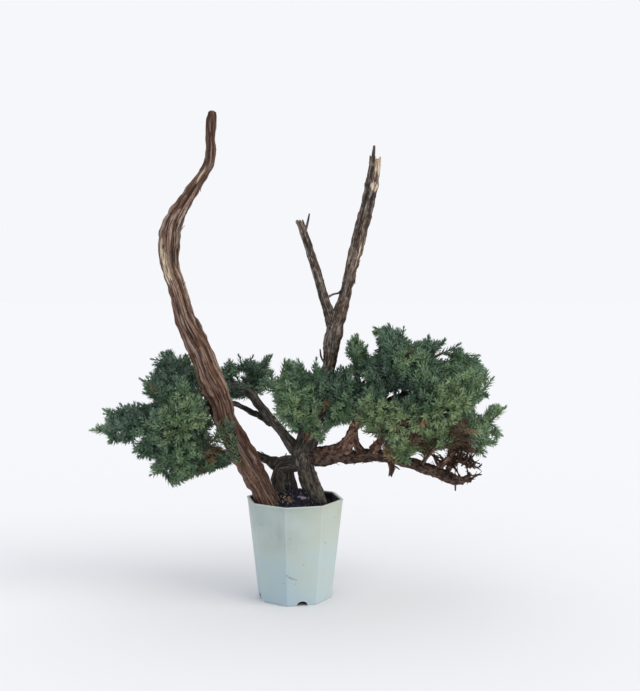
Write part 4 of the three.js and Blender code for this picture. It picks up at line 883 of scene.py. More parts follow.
# Places where dead shoots show on the plane y = 0: across, up, radius, and how pale they are.
deadPlaces = [
    (-101, 181, 17, 0.6), (38, 234, 9, 0.3), (-112, 160, 8, 0.3), (128, 216, 9, 0.6),
    (148, 203, 15, 0.6), (118, 170, 17, 0.8), (104, 182, 12, 0.8), (212, 170, 13, 0.4),
    (203, 190, 28, 0.3), (166, 186, 19, 0.4), (190, 184, 14, 0.15)]
goldenAngle = math.radians(137.5)


def unit(v):
    return v / max(np.linalg.norm(v), 1e-9)


# Limb samples as [x, y, z, radius], for keeping shoots out of the wood.
limbSamples = {name: smoothPath(points, 5.0) for name, points in limbs.items()}
heavyWood = np.vstack([s for s in limbSamples.values() if s[:, 3].max() > foliage["heavyLimb"]])
bareLimbs = ("forkTwig", "hookTwig", "hangTwig", "baseTwig", "dropTwig", "huggingTwig", "riserNub")
shootLimbs = [
    name for name in limbs if name not in bareLimbs and not name.startswith("endTwig")
    and any(part in name for part in ("arch", "lowLeft", "iser", "crown", "Twig"))]
mainPads = ("left", "backLeft", "middle", "right")
seeThrough = [gap for pad in pads.values() for gap in pad["gaps"]]


# Where the camera sees the points on the plane y = 0, as [x, z] rows.
def seenFlat(points):
    eye = np.array(view["place"])
    nearer = -eye[1] / (points[:, 1] - eye[1])
    return eye[[0, 2]] + (points[:, [0, 2]] - eye[[0, 2]]) * nearer[:, None]


# How far inside a closed outline each [x, z] row lies; negative outside it.
def insideBy(outline, spots):
    corners = np.array(outline, float)
    edges = np.roll(corners, -1, axis=0) - corners
    away = spots[:, None] - corners
    along = np.clip((away * edges).sum(2) / (edges * edges).sum(1), 0, 1)
    gap = np.linalg.norm(away - along[..., None] * edges, axis=2).min(1)
    spans = (away[..., 1] < 0) != (away[..., 1] < edges[:, 1])
    crossing = away[..., 0] < away[..., 1] * edges[:, 0] / np.where(edges[:, 1] == 0, 1e-9, edges[:, 1])
    return np.where((spans & crossing).sum(1) % 2 == 1, gap, -gap)


# Whether a shoot keeps clear of the wood, of the see-through gaps and of the main pads' edges.
def outOfTheWay(points, sprayName):
    low, high = foliage["farthest"]
    if (points[-1] <= low).any() or (points[-1] >= high).any():
        return False
    points = points[1:]
    gap = np.linalg.norm(heavyWood[:, None, :3] - points, axis=2) - heavyWood[:, 3:]
    if gap.min() < foliage["stemClear"]:
        return False
    if sprayName == "stemSprig":
        return True
    flat = seenFlat(points)
    if max(insideBy(pads[pad]["outline"], flat[-1:])[0] for pad in mainPads) < foliage["sideFringe"]:
        return False
    # no other spray passes in front of the tall stem
    stem = limbSamples["tallStem"]
    beside = np.hypot(stem[:, None, 0] - points[:, 0], stem[:, None, 2] - points[:, 2]) - stem[:, 3:]
    nearest = beside.argmin(0)
    before = points[:, 1] < stem[nearest, 1] + foliage["beforeStem"]
    if ((beside.min(0) < foliage["besideStem"]) & before).any():
        return False
    return all(np.hypot(flat[:, 0] - x, flat[:, 1] - z).min() > radius for x, z, radius in seeThrough)


# A quadratic Bezier from root to tip, as [x, y, z] rows.
def bowedPath(root, middle, tip, count):
    t = np.linspace(0, 1, count)[:, None]
    return (1 - t) ** 2 * root + 2 * t * (1 - t) * middle + t ** 2 * tip


# The leading shoots of a spray, rooted and forked where the solids have them.
def leadPaths(spray):
    leads = []
    for n, tip in enumerate(np.array(spray["tips"], float)):
        if n == 0:
            root = np.array(spray["root"], float)
            middle = (root + tip) / 2 - np.array([0, 0, foliage["sag"]])
            middle = np.array(spray.get("by", middle), float)
        else:
            parent = leads[-1]
            steps = stepLengths(parent)
            length = steps.sum()
            bare = length - min(foliage["leafyLength"], foliage["mostLeafy"] * length)
            fork = bare / max(1, round(bare / foliage["bareStep"])) * foliage["forkShare"]
            i = int(np.searchsorted(np.cumsum(steps), fork))
            root = parent[i]
            ahead = unit(parent[i + 1] - parent[i])
            aim = tip - root
            out = unit(aim - ahead * (aim @ ahead))
            lean = math.radians(foliage["forkLean"])
            heading = ahead * math.cos(lean) + out * math.sin(lean)
            middle = root + heading * np.linalg.norm(aim) * foliage["forkBow"]
            middle = middle + (((root + tip) / 2) - middle) * foliage["forkEase"]
        leads.append(bowedPath(root, middle, tip, foliage["leadPoints"]))
    return [trimmed(lead) for lead in leads]


# The same path, less its last few millimetres.
def trimmed(lead):
    count = len(lead)
    kept = 1 - foliage["leadTrim"] / stepLengths(lead).sum()
    spots = np.linspace(0, (count - 1) * kept, count)
    return np.stack([np.interp(spots, np.arange(count), lead[:, k]) for k in range(3)], 1)


# A shoot that leaves its parent at a lean and turns up towards the light.
def sideShoot(start, ahead, azimuth, leanDeg, length, rng):
    across = unit(np.cross(awayFrom(ahead), ahead))
    over = np.cross(ahead, across)
    out = across * math.cos(azimuth) + over * math.sin(azimuth)
    lean = math.radians(leanDeg)
    heading = ahead * math.cos(lean) + out * math.sin(lean)
    t = np.linspace(0, 1, 5)[:, None]
    sway = np.array([rng.random() for _ in range(3)]) - 0.5
    turn = np.array([0, 0, foliage["upturn"]]) + foliage["turnAhead"] * ahead
    turn = turn + foliage["turnSway"] * sway
    return start + length * (t * heading + 0.5 * t * t * turn)


# A shoot's axis with all that its needles need: their size along it, its tone and its dryness.
def shootOf(points, rootRadius, bareShare, tone, dryness):
    share = np.linspace(0, 1, len(points))
    leaf = np.where(share >= bareShare, 1.0 - 0.3 * share ** 3, 0.0)
    radius = rootRadius + (foliage["tipRadius"] - rootRadius) * share
    return {"points": points, "radius": radius, "leaf": leaf, "tone": tone, "dry": dryness}


# A shoot's tone, with painted light and shade by its place, and its dryness, from its place and two
# chances.
def lookAt(tip, tone, chance):
    x, z = seenFlat(tip[None])[0]
    for across, up, radius, pale in deadPlaces:
        if chance < foliage["deadShare"] * (1 - (math.hypot(x - across, z - up) / radius) ** 2):
            return min(1, max(0, pale + 0.5 * (tone - 0.5))), 0.9
    # painted light and shade: shoots in the lit places are made paler, those in the shaded places darker
    lit = sum(much * math.exp(-((x - across) ** 2 + (z - up) ** 2) / radius ** 2)
              for across, up, radius, much in lightPlaces)
    return 0.5 + 0.45 * (tone - 0.5) + lit, 0.7 if chance < foliage["strayDead"] else 0.0


# The place and the direction at a distance along a path of the given length.
def placeOn(path, distance, length):
    spot = distance / length * (len(path) - 1)
    i = min(int(spot), len(path) - 2)
    return path[i] + (path[i + 1] - path[i]) * (spot - i), unit(path[i + 1] - path[i])


def varied(value, rng):
    return value * (0.75 + 0.5 * rng.random())


# The leading shoots of one spray with the side shoots and twiglets on them.
def ownShoots(name, leads, seed):
    rng = random.Random(seed)
    onStem = name == "stemSprig"
    longest = foliage["sprigSide"] if onStem else foliage["sideLength"]
    shoots = []
    for lead in leads:
        length = stepLengths(lead).sum()
        bareShare = max(0.0, 1 - (foliage["leafyLength"] + foliage["leafyMore"]) / length)
        tone = lookAt(lead[-1], rng.random(), 1.0)[0] + foliage["leadTone"]
        shoots.append(shootOf(lead, foliage["stemRadius"], bareShare, tone, 0.0))
        azimuth = rng.random() * 2 * math.pi
        place = foliage["firstSide"] * length
        while place < length - foliage["lastSide"]:
            start, ahead = placeOn(lead, place, length)
            azimuth += goldenAngle + 0.5 * (rng.random() - 0.5)
            most = foliage["sideLeast"] + foliage["sideTaper"] * (length - place)
            reach = varied(min(longest, most), rng)
            lean = foliage["sideLean"] + 16 * (rng.random() - 0.5)
            side = sideShoot(start, ahead, azimuth, lean, reach, rng)
            place += varied(foliage["sideSpacing"], rng)
            tone, chance = rng.random(), rng.random()
            if not outOfTheWay(side, name):
                continue
            tone, dryness = lookAt(side[-1], tone, chance)
            if onStem:
                tone, dryness = 0.3 * tone - 0.2, 0.3
            shoots.append(shootOf(side, foliage["sideRadius"], foliage["sideBare"], tone, dryness))
            twiglet = foliage["firstTwiglet"] + 2 * rng.random()
            turnBy = rng.random() * 2 * math.pi
            while twiglet < reach - foliage["twigletLeast"]:
                start, ahead = placeOn(side, twiglet, reach)
                turnBy += goldenAngle + 0.4 * rng.random()
                most = foliage["twigletLeast"] + foliage["twigletTaper"] * (reach - twiglet)
                small = varied(min(foliage["twigletLength"], most), rng)
                lean = foliage["twigletLean"] + 14 * (rng.random() - 0.5)
                twig = sideShoot(start, ahead, turnBy, lean, small, rng)
                twiglet += varied(foliage["twigletSpacing"], rng)
                if outOfTheWay(twig, name):
                    shade = min(1, max(0, tone + 0.4 * (rng.random() - 0.5)))
                    shoots.append(shootOf(twig, foliage["twigletRadius"], foliage["twigletBare"],
                                          shade, dryness))
    return shoots


# Tips spread evenly through a pad: a closed cloud, thickest in the middle of its outline.
def tipSpots(pad, seed):
    chance = np.random.default_rng(seed)
    outline = np.array(pad["outline"], float)
    low, high = outline.min(0) - foliage["tipMargin"], outline.max(0) + foliage["tipMargin"]
    tries = int((high - low).prod() * pad["half"] * 2 / foliage["roomPerTry"])
    spots = chance.random((tries, 3))
    spots[:, [0, 2]] = low + spots[:, [0, 2]] * (high - low)
    spots[:, 1] = pad["middle"] + pad["half"] * (2 * spots[:, 1] - 1)
    deep = insideBy(outline, seenFlat(spots)) - pad.get("fringe", foliage["fringe"])
    aside = np.abs(spots[:, 1] - pad["middle"]) / pad["half"]
    spots = spots[(deep > 0) & (aside ** 2 < deep / pad["fullAt"])]
    spacing = pad.get("spacing", foliage["tipSpacing"])
    chosen, count = np.zeros((len(spots), 3)), 0
    for spot in spots:
        if count == 0 or np.linalg.norm(chosen[:count] - spot, axis=1).min() > spacing:
            chosen[count] = spot
            count += 1
    spikes = []
    eye = np.array(view["place"])
    for k, corner in enumerate(outline if "spikes" in pad else []):
        inward = (outline[k - 1] + outline[(k + 1) % len(outline)]) / 2 - corner
        spot = corner + unit(inward) * foliage["spikeInset"]
        depth = pad["middle"] + foliage["spikeDepth"] * pad["half"] * (2 * chance.random() - 1)
        if insideBy(outline, spot[None])[0] > 1:
            x, z = eye[[0, 2]] + (spot - eye[[0, 2]]) * (1 - depth / eye[1])
            spikes.append((x, depth, z))
    return np.vstack([chosen[:count]] + spikes)


# Fills a pad out. Each new shoot starts from what has grown so far, the leading shoots and thin
# limbs first, and it bends over to its tip. Nearer tips are reached before farther ones.
def fillPad(pad, leadsOf, seed):
    rng = random.Random(seed)
    names = list(leadsOf)
    spots, headings, owners = [], [], []
    places = range(5, foliage["leadPoints"], 2)      # the points of a leading shoot that may fork
    for number, name in enumerate(names):
        for lead in leadsOf[name]:
            spots += [lead[k] for k in places]
            headings += [unit(lead[min(k + 1, places.stop - 1)] - lead[k - 1]) for k in places]
            owners += [number] * len(places)
    onLeads = np.array(spots)
    leadOwners = list(owners)
    for limb in shootLimbs:
        for before, here in zip(limbSamples[limb][:-1], limbSamples[limb][1:]):
            away = np.linalg.norm(onLeads - here[:3], axis=1)
            if here[3] < foliage["thinLimb"] and away.min() < foliage["limbNear"]:
                spots.append(here[:3])
                headings.append(unit(here[:3] - before[:3]))
                owners.append(leadOwners[int(away.argmin())])
    tips = tipSpots(pad, seed)
    gaps = np.linalg.norm(tips[:, None] - np.array(spots)[None], axis=2).min(1)
    room = len(spots) + 4 * len(tips)
    spotArray, headingArray = np.zeros((room, 3)), np.zeros((room, 3))
    spotArray[:len(spots)], headingArray[:len(spots)] = spots, headings
    used = len(spots)
    grown = {name: [] for name in names}
    deep = insideBy(np.array(pad["outline"], float), seenFlat(tips))
    aside = (1 - np.abs(tips[:, 1] - pad["middle"]) / pad["half"]) * pad["half"]
    cores = np.clip(np.minimum(deep, aside) / foliage["coreDepth"], 0, 1)
    for number in gaps.argsort():
        tip = tips[number]
        away = tip - spotArray[:used]
        gap = np.linalg.norm(away, axis=1)
        bend = 1 - (away * headingArray[:used]).sum(1) / np.maximum(gap, 1e-6)
        best = int((np.abs(gap - foliage["shootLength"]) + foliage["straightness"] * bend).argmin())
        tone, chance = rng.random(), rng.random()
        root, length = spotArray[best], gap[best]
        if length > foliage["longest"]:
            continue
        middle = (root + tip) / 2 + headingArray[best] * foliage["bow"] * length
        middle = middle - np.array([0, 0, foliage["droop"] * length])
        path = bowedPath(root, middle, tip, 6)
        name = names[owners[best]]
        if not outOfTheWay(path, name):
            continue
        look = (pad["dead"] + 0.3 * (tone - 0.5), 0.95) if "dead" in pad else lookAt(tip, tone, chance)
        # painted shade: shoots deep inside the pad are darker, those near its outline lighter
        look = (look[0] + foliage["coreShade"] * (0.3 - cores[number]), look[1])
        grown[name].append(shootOf(path, foliage["sideRadius"], foliage["twigletBare"], *look))
        for k in (2, 3, 4):
            spotArray[used] = path[k]
            headingArray[used] = unit(path[k + 1] - path[k])
            owners.append(owners[best])
            used += 1
    return grown


# The shoots' axes as a mesh of edges, which the node tree turns into curves.
def axisMesh(name, shoots):
    points = np.vstack([s["points"] for s in shoots])
    edges, start = [], 0
    for shoot in shoots:
        count = len(shoot["points"])
        edges += [(start + k, start + k + 1) for k in range(count - 1)]
        start += count
    mesh = bpy.data.meshes.new(name)
    mesh.from_pydata((points * mm).tolist(), edges, [])
    setValues(mesh, {
        "stemRadius": np.concatenate([s["radius"] * mm for s in shoots]),
        "leafSize": np.concatenate([s["leaf"] for s in shoots]),
        "nearTip": np.concatenate([np.linspace(0, 1, len(s["points"])) for s in shoots]),
        "shootTone": np.concatenate([np.full(len(s["points"]), s["tone"]) for s in shoots]),
        "dry": np.concatenate([np.full(len(s["points"]), s["dry"]) for s in shoots]),
    })
    return pieceOf(name, mesh)


# A few needles round an axis along +Z: each a closed three-sided blade, keeled below.
def needleGroup(name, leans, lengths, turns, lifts):
    verts, faces, reach = [], [], []
    width = foliage["needleWidth"]
    for lean, length, turn, lift in zip(leans, lengths, turns, lifts):
        out = Vector((math.cos(turn), math.sin(turn), 0))
        up = Vector((0, 0, 1))
        tilt = math.radians(lean)
        axis = (up * math.cos(tilt) + out * math.sin(tilt)).normalized()
        across = up.cross(out).normalized()
        keel = axis.cross(across).normalized()
        if keel.z > 0:
            keel = -keel
        base = up * lift + out * foliage["needleFoot"]
        start = len(verts)
        for share, halfWidth, keelDepth, bend in foliage["needleRings"]:
            centre = base + axis * (length * share) + keel * (-bend)
            verts += [centre + across * halfWidth * width, centre - across * halfWidth * width,
                      centre + keel * keelDepth * width]
            reach += [share] * 3
        verts.append(base + axis * length)
        reach.append(1.0)
        a, b, c, d, e, f, tip = range(start, start + 7)
        faces += [(a, c, b), (a, b, e, d), (b, c, f, e), (c, a, d, f),
                  (d, e, tip), (e, f, tip), (f, d, tip)]
    piece = meshPiece(name, [tuple(v) for v in verts], faces, {"needleReach": reach}, smooth=False)
    bpy.context.scene.collection.objects.unlink(piece)
    return piece


# Shoots from their axes: thin stems along the curves and whorls of needles spaced out on them,
# each whorl turned a sixth of a turn from the last, with closed buds at the tips.
def foliageTree(material):
    tree, sockets, add, given = startTree("juniperShoots", [
        ("Open Whorl", "Object", None), ("Closed Whorl", "Object", None),
        ("Whorl Spacing", "Float", foliage["whorlSpacing"] * mm),
        ("Roll", "Float", math.radians(foliage["roll"])), ("Seed", "Int", 7)])
    stemRadius, leafSize, nearTip = (
        add("GeometryNodeInputNamedAttribute", {"Name": name}, data_type="FLOAT")
        for name in ("stemRadius", "leafSize", "nearTip"))
    curves = add("GeometryNodeMeshToCurve", (given["Geometry"],))
    sized = add("GeometryNodeSetCurveRadius", {"Curve": curves, "Radius": stemRadius})
    ring = add("GeometryNodeCurvePrimitiveCircle", {"Resolution": 5, "Radius": 1.0})
    stems = add("GeometryNodeCurveToMesh",
                {"Curve": sized, "Profile Curve": ring, "Scale": stemRadius, "Fill Caps": True})
    parts = [add("GeometryNodeStoreNamedAttribute", {"Geometry": stems, "Name": "woody", "Value": 1.0},
                 data_type="FLOAT", domain="POINT")]
    whorls = add("GeometryNodeCurveToPoints", {"Curve": curves, "Length": given["Whorl Spacing"]},
                 mode="LENGTH").node.outputs
    # how far each whorl is turned too much or too little, its size and its tone
    seeds = [add("ShaderNodeMath", (given["Seed"], more), operation="ADD") for more in range(3)]
    turn, vary, tone = (
        add("FunctionNodeRandomValue", {2: low, 3: high, "Seed": seed}, 1, data_type="FLOAT")
        for seed, low, high in zip(seeds, (-0.3, 0.84, 0.0), (0.3, 1.14, 1.0)))
    index = add("GeometryNodeInputIndex")
    roll = add("ShaderNodeMath", (index, given["Roll"], turn), operation="MULTIPLY_ADD")
    spin = add("FunctionNodeAxisAngleToRotation", {"Axis": (0, 0, 1), "Angle": roll})
    turned = add("FunctionNodeRotateRotation", {"Rotation": whorls["Rotation"], "Rotate By": spin},
                 rotation_space="LOCAL")
    size = add("ShaderNodeMath", (vary, leafSize), operation="MULTIPLY")
    leafy, atTip = (
        add("FunctionNodeCompare", (value, least), data_type="FLOAT", operation="GREATER_THAN")
        for value, least in ((leafSize, foliage["leastLeaf"]), (nearTip, foliage["closedFrom"])))
    notTip = add("FunctionNodeBooleanMath", (atTip,), operation="NOT")
    for label, where in (("Open Whorl", notTip), ("Closed Whorl", atTip)):
        chosen = add("FunctionNodeBooleanMath", (leafy, where), operation="AND")
        shape = add("GeometryNodeObjectInfo", {"Object": given[label], "As Instance": True}, "Geometry")
        placed = add("GeometryNodeInstanceOnPoints", {
            "Points": whorls["Points"], "Selection": chosen, "Instance": shape, "Rotation": turned,
            "Scale": size})
        parts.append(add("GeometryNodeStoreNamedAttribute",
                         {"Geometry": placed, "Name": "whorlTone", "Value": tone},
                         data_type="FLOAT", domain="INSTANCE"))
    endTree(tree, parts, material)
    return tree, sockets


# Live juniper needles: waxy blue-green, paler towards the tips, where the bloom lies and a highlight
# is painted, on thin green-brown stems; dry ones are fox brown. Satin. Each shoot's tone also
# carries painted light and shade by its place.
def juniperNeedles():
    material, add, place = startMaterial("juniperNeedles")
    patch = add("ShaderNodeTexNoise",
                {"Vector": place, "Scale": 15.0, "Detail": 3, "Roughness": 0.6}, "Fac")
    x, y, z = add("ShaderNodeSeparateXYZ", (place,)).node.outputs
    shootTone, whorlTone, reach, dry, woody = (
        add("ShaderNodeAttribute", output="Fac", attribute_name=name)
        for name in ("shootTone", "whorlTone", "needleReach", "dry", "woody"))
    # the lower and front shoots are yellower, the high and far ones bluer
    blend = add("ShaderNodeMath", (whorlTone, 0.2, -0.26), operation="MULTIPLY_ADD")
    for value, much in ((shootTone, 0.8), (patch, 1.5), (z, -2.0), (y, -2.0)):
        blend = add("ShaderNodeMath", (value, much, blend), operation="MULTIPLY_ADD")
    colour = add("ShaderNodeValToRGB", (blend,),
                 stops=[(0.0, "#2f4a40"), (0.3, "#486853"), (0.6, "#67875f"), (1.0, "#90a676")])
    # the left pad is bluer, but for its lower edge
    left = add("ShaderNodeMapRange", (x, -0.05, -0.3, 0, 0.5))
    raised = add("ShaderNodeMapRange", (z, 0.165, 0.215, 0, 1))
    bluer = add("ShaderNodeMath", (left, raised), operation="MULTIPLY")
    # paler towards each needle's tip: the waxy bloom and a painted highlight
    squared = add("ShaderNodeMath", (reach, 2.0), operation="POWER")
    bloomAndTipHighlight = add("ShaderNodeMath", (squared, 0.42), operation="MULTIPLY")
    brown, stem = (
        add("ShaderNodeMix", {0: factor, 6: linearColour(low), 7: linearColour(high)}, 2,
            data_type="RGBA")
        for factor, low, high in ((shootTone, "#54362a", "#a48a6c"), (patch, "#3d4a2f", "#56472f")))
    for factor, layer in ((bluer, linearColour("#5c7a6a")), (bloomAndTipHighlight, linearColour("#a9bca8")),
                          (dry, brown), (woody, stem)):
        colour = add("ShaderNodeMix", {0: factor, 6: colour, 7: layer}, 2, data_type="RGBA")
    return endMaterial(material, {"Base Color": colour, "Roughness": 0.5, "IOR": 1.45})


needleLength, thirds = foliage["needleLength"], [math.radians(120 * k) for k in range(3)]
openWhorl = needleGroup(
    "openWhorl", [foliage["openLean"]] * 3, [needleLength * k for k in (1, 0.93, 1.05)], thirds,
    [0, 0.25, -0.2])
closedWhorl = needleGroup(
    "closedWhorl", [foliage["closedLean"]] * 3 + [10] * 2,
    [needleLength * k for k in (0.85, 0.78, 0.9, 0.75, 0.7)], thirds + [1.0, 4.1],
    [0, 0.2, -0.2, 0.9, 1.2])
shootTree, shootSockets = foliageTree(juniperNeedles())


def foliagePiece(name, shoots, seed):
    grown = grownMesh(axisMesh("axes_" + name, shoots), shootTree, shootSockets,
                      {"Open Whorl": openWhorl, "Closed Whorl": closedWhorl, "Seed": seed})
    grown.name = "foliage_" + name
    return settle(pieceOf(grown.name, grown), "needles", "spray_" + name)


# Whether a spray's shoots fill out a pad.
def isIn(pad, padName, sprayName):
    if "from" in pad:
        return sprayName in pad["from"]
    own = next((start for start in mainPads if sprayName.startswith(start)), "right")
    return own == padName and sprayName != "stemSprig"


# Sprigs out of the tall stem's own bark that lie up against it.
barkSprigs = [((-67, -27, 168), (-74, -38, 196), (-79, -41, 224)),
              ((-69, -24, 172), (-82, -34, 190), (-86, -38, 212)),
              ((-63, -29, 164), (-70, -38, 182), (-74, -41, 203))]
leadsOf = {name: leadPaths(spray) for name, spray in sprays.items()}
leadsOf["stemSprig"] += [
    bowedPath(*np.array(sprig, float), foliage["leadPoints"]) for sprig in barkSprigs]
shootsOf = {name: ownShoots(name, leads, 300 + number)
            for number, (name, leads) in enumerate(leadsOf.items())}
for number, (padName, pad) in enumerate(pads.items()):
    members = {name: leads for name, leads in leadsOf.items() if isIn(pad, padName, name)}
    for name, grown in fillPad(pad, members, 70 + number).items():
        shootsOf[name] += grown
    print("pad grown:", padName, sum(len(shootsOf[name]) for name in members), "shoots")
faceCounts = {}
for number, (name, shoots) in enumerate(shootsOf.items()):
    piece = foliagePiece(name, shoots, 300 + number)
    faceCounts[name] = sum(len(polygon.vertices) - 2 for polygon in piece.data.polygons)
print("foliage made:", sum(faceCounts.values()), "triangles, most in one piece", max(faceCounts.values()))

# The pot's sizes in millimetres, as the solid has them, with the rounding of its edges.
pot = {
    "height": 122.0, "rimRadius": 59.9, "footRadius": 46.0, "turnDeg": 35.7, "wall": 2.6,
    "lipHeight": 2.4, "lipReach": 0.7, "lipEdge": 0.7, "skirt": 6.0, "floor": 3.0,
    "cornerRound": 2.6, "innerRound": 1.8, "notchWidth": 13.0, "notchHeight": 5.6, "notches": 4,
    "drainRadius": 4.5, "drainCircle": 21.0, "drains": 4, "drainSides": 24, "drainCut": (3, 12),
    "bow": 0.35, "wallSteps": 18,
    # from where to where the rim and the corners get a painted highlight, and where the painted shade
    # inside ends below the rim
    "rimHighlightSpan": (0.9, 0.5), "cornerHighlightSpan": (0.2, 1.1), "cornerHighlightStrength": 0.45, "innerShadeEnd": (1.2, 0.4),
}
flatShare = math.cos(math.radians(22.5))     # distance to a flat over distance to a corner
firstCorner = math.radians(pot["turnDeg"] - 90)


def potRadiusAt(z):
    return pot["footRadius"] + (pot["rimRadius"] - pot["footRadius"]) * z / pot["height"]


def insideAt(z):
    return potRadiusAt(z) - pot["wall"] / flatShare


# One ring of the octagon with rounded corners and flats that bow out a hair between them.
def octagonRing(cornerRadius, z, rounding, arcSteps=4, flatSteps=5):
    ring = []
    away = cornerRadius - rounding / flatShare
    for k in range(8):
        middle = math.radians(pot["turnDeg"] - 90 + 45 * k)
        for i in range(arcSteps + 1):
            turn = middle + math.radians(-22.5 + 45 * i / arcSteps)
            ring.append((away * math.cos(middle) + rounding * math.cos(turn),
                         away * math.sin(middle) + rounding * math.sin(turn), z))
        following = math.radians(pot["turnDeg"] - 90 + 45 * (k + 1))
        start = np.array(ring[-1])
        turn = following - math.radians(22.5)
        end = np.array([away * math.cos(following) + rounding * math.cos(turn),
                        away * math.sin(following) + rounding * math.sin(turn), z])
        for i in range(1, flatSteps):
            share = i / flatSteps
            out = pot["bow"] * math.sin(math.pi * share) * (cornerRadius / pot["rimRadius"])
            spot = start + (end - start) * share
            ring.append((spot[0] + out * math.cos(turn), spot[1] + out * math.sin(turn), z))
    return ring


def cutBy(piece, cutters):
    for cutter in cutters:
        knife = piece.modifiers.new("cut", "BOOLEAN")
        knife.operation = "DIFFERENCE"
        knife.solver = "EXACT"
        knife.object = cutter
    finished = bpy.data.meshes.new_from_object(piece.evaluated_get(bpy.context.evaluated_depsgraph_get()))
    piece.modifiers.clear()
    piece.data = finished
    for cutter in cutters:
        bpy.data.objects.remove(cutter)


# A prism along +Y from an outline in x and z, turned about +Z.
def prism(name, outline, near, far, turnDeg):
    turn = math.radians(turnDeg)
    verts = []
    for y in (near, far):
        verts += [(x * math.cos(turn) - y * math.sin(turn), x * math.sin(turn) + y * math.cos(turn), z)
                  for x, z in outline]
    n = len(outline)
    faces = [list(range(n)), list(range(2 * n - 1, n - 1, -1))]
    faces += [[(k + 1) % n, k, n + k, n + (k + 1) % n] for k in range(n)]
    return meshPiece(name, verts, faces, smooth=False)


def makePot():
    height, under, edge = pot["height"], pot["height"] - pot["lipHeight"], pot["lipEdge"]
    rim, lip, inner = pot["rimRadius"], pot["lipReach"], pot["innerRound"]
    # each ring's radius, height and rounding: from the skirt's inside down, round the foot, up the
    # wall, over the lip and down inside to the floor
    profile = [(insideAt(pot["skirt"]), pot["skirt"], inner), (insideAt(0) + 0.1, 0.4, inner),
               (insideAt(0) + 0.4, 0, inner), (pot["footRadius"] - 0.5, 0, 2.4),
               (pot["footRadius"] - 0.05, 0.5, 2.6)]
    profile += [(potRadiusAt(z), z, pot["cornerRound"])
                for z in np.linspace(2.0, under - 0.3, pot["wallSteps"])]
    profile += [(potRadiusAt(under) + 0.2, under + 0.1, 2.6),
                (potRadiusAt(under) + lip, under + edge, 2.8), (rim + lip, height - edge, 2.8),
                (rim + 0.35, height - 0.15, 2.6), (rim - 0.1, height, 2.4),
                (insideAt(height) + edge, height, inner),
                (insideAt(height) + 0.15, height - 0.3, inner)]
    profile += [(insideAt(z), z, inner)
                for z in (121.2, 119.6, 112, 90, 50, pot["skirt"] + pot["floor"])]
    rings = [octagonRing(*row) for row in profile]
    count = len(rings[0])
    verts = [p for ring in rings for p in ring]
    faces = ringFaces(len(rings), count)
    faces.append([count - 1 - k for k in range(count)])
    faces.append([(len(rings) - 1) * count + k for k in range(count)])
    piece = meshPiece("octagonPot", verts, faces)
    half = pot["notchWidth"] / 2
    arch = [(-half, -2), (half, -2), (half, 0)]
    arch += [(half * math.cos(t), pot["notchHeight"] * math.sin(t) ** 0.8)
             for t in np.linspace(0.12, math.pi - 0.12, 11)] + [(-half, 0)]
    notches = [prism("notch", arch, -pot["footRadius"] - 4, -pot["footRadius"] + 10,
                     pot["turnDeg"] - 22.5 + 90 * k) for k in range(pot["notches"])]
    drains, sides = [], pot["drainSides"]
    for k in range(pot["drains"]):
        turn = math.radians(pot["turnDeg"] + 22.5 + 90 * k)
        x, y = pot["drainCircle"] * math.cos(turn), pot["drainCircle"] * math.sin(turn)
        ring = [(x + pot["drainRadius"] * math.cos(t), y + pot["drainRadius"] * math.sin(t))
                for t in np.linspace(0, 2 * math.pi, sides, endpoint=False)]
        verts = [(*spot, z) for z in pot["drainCut"] for spot in ring]
        faces = [list(range(sides - 1, -1, -1)), list(range(sides, 2 * sides))] + ringFaces(2, sides)
        drains.append(meshPiece("drain", verts, faces, smooth=False))
    cutBy(piece, notches + drains)
    piece.data.polygons.foreach_set("use_smooth", [True] * len(piece.data.polygons))
    piece.data.set_sharp_from_angle(angle=math.radians(32))
    markPaintedLight(piece)
    return piece


# Painted light on the pot: a painted highlight along its corners and rim, and painted shade, nearly
# black, on its inside wall.
def markPaintedLight(piece):
    places = np.empty(len(piece.data.vertices) * 3)
    piece.data.vertices.foreach_get("co", places)
    x, y, z = places.reshape(-1, 3).T / mm
    half = math.pi / 8       # of one side's angle
    turn = np.mod(np.arctan2(y, x) - firstCorner + half, 2 * half) - half
    reach = np.hypot(x, y)
    outer = potRadiusAt(z) * flatShare / np.cos(half - np.abs(turn))
    outside = reach > outer - pot["wall"] / 2
    corner = 1 - smoothStep(*pot["cornerHighlightSpan"], np.abs(reach * np.sin(turn)))
    rim = smoothStep(*(pot["height"] - below for below in pot["rimHighlightSpan"]), z)
    # painted shade on the inside wall, up to just below the rim
    stained = 1 - smoothStep(*(pot["height"] - below for below in pot["innerShadeEnd"]), z)
    setValues(piece.data, {"worn": np.where(outside, np.maximum(pot["cornerHighlightStrength"] * corner, rim), rim),
                           "stained": np.where(outside, 0, stained)})


# Small dark specks and scuffs on the front of the pot, and faint larger darker patches on its left
# front: place, half sizes and strength.
potMarks = [
    ((-45.2, -32, 113.5), (1.1, 3.0, 1.0), 0.75), ((-4.2, -48, 84), (1.2, 12.0, 1.0), 0.4),
    ((37.2, -34, 75), (1.2, 12.0, 1.1), 0.4), ((-7.6, -47, 38.6), (1.6, 12.0, 1.5), 0.36),
    ((-4.8, -47, 36.2), (2.4, 12.0, 1.1), 0.48), ((-1.2, -47, 34.4), (2.6, 12.0, 1.0), 0.45),
    ((2.4, -47, 33.2), (2.0, 12.0, 0.9), 0.4), ((11.5, -45, 51), (1.2, 12.0, 0.8), 0.36),
    ((1.6, -44, 28), (1.1, 12.0, 0.8), 0.4), ((-12.2, -44, 29), (1.0, 12.0, 0.8), 0.36),
    ((48.5, -30, 103), (1.0, 12.0, 1.3), 0.3), ((-47.5, -24, 92), (1.6, 12.0, 9.0), 0.22),
    ((-38.5, -34, 98), (5.0, 12.0, 3.0), 0.1), ((-16.5, -44, 92), (6.0, 12.0, 12.0), 0.12),
]
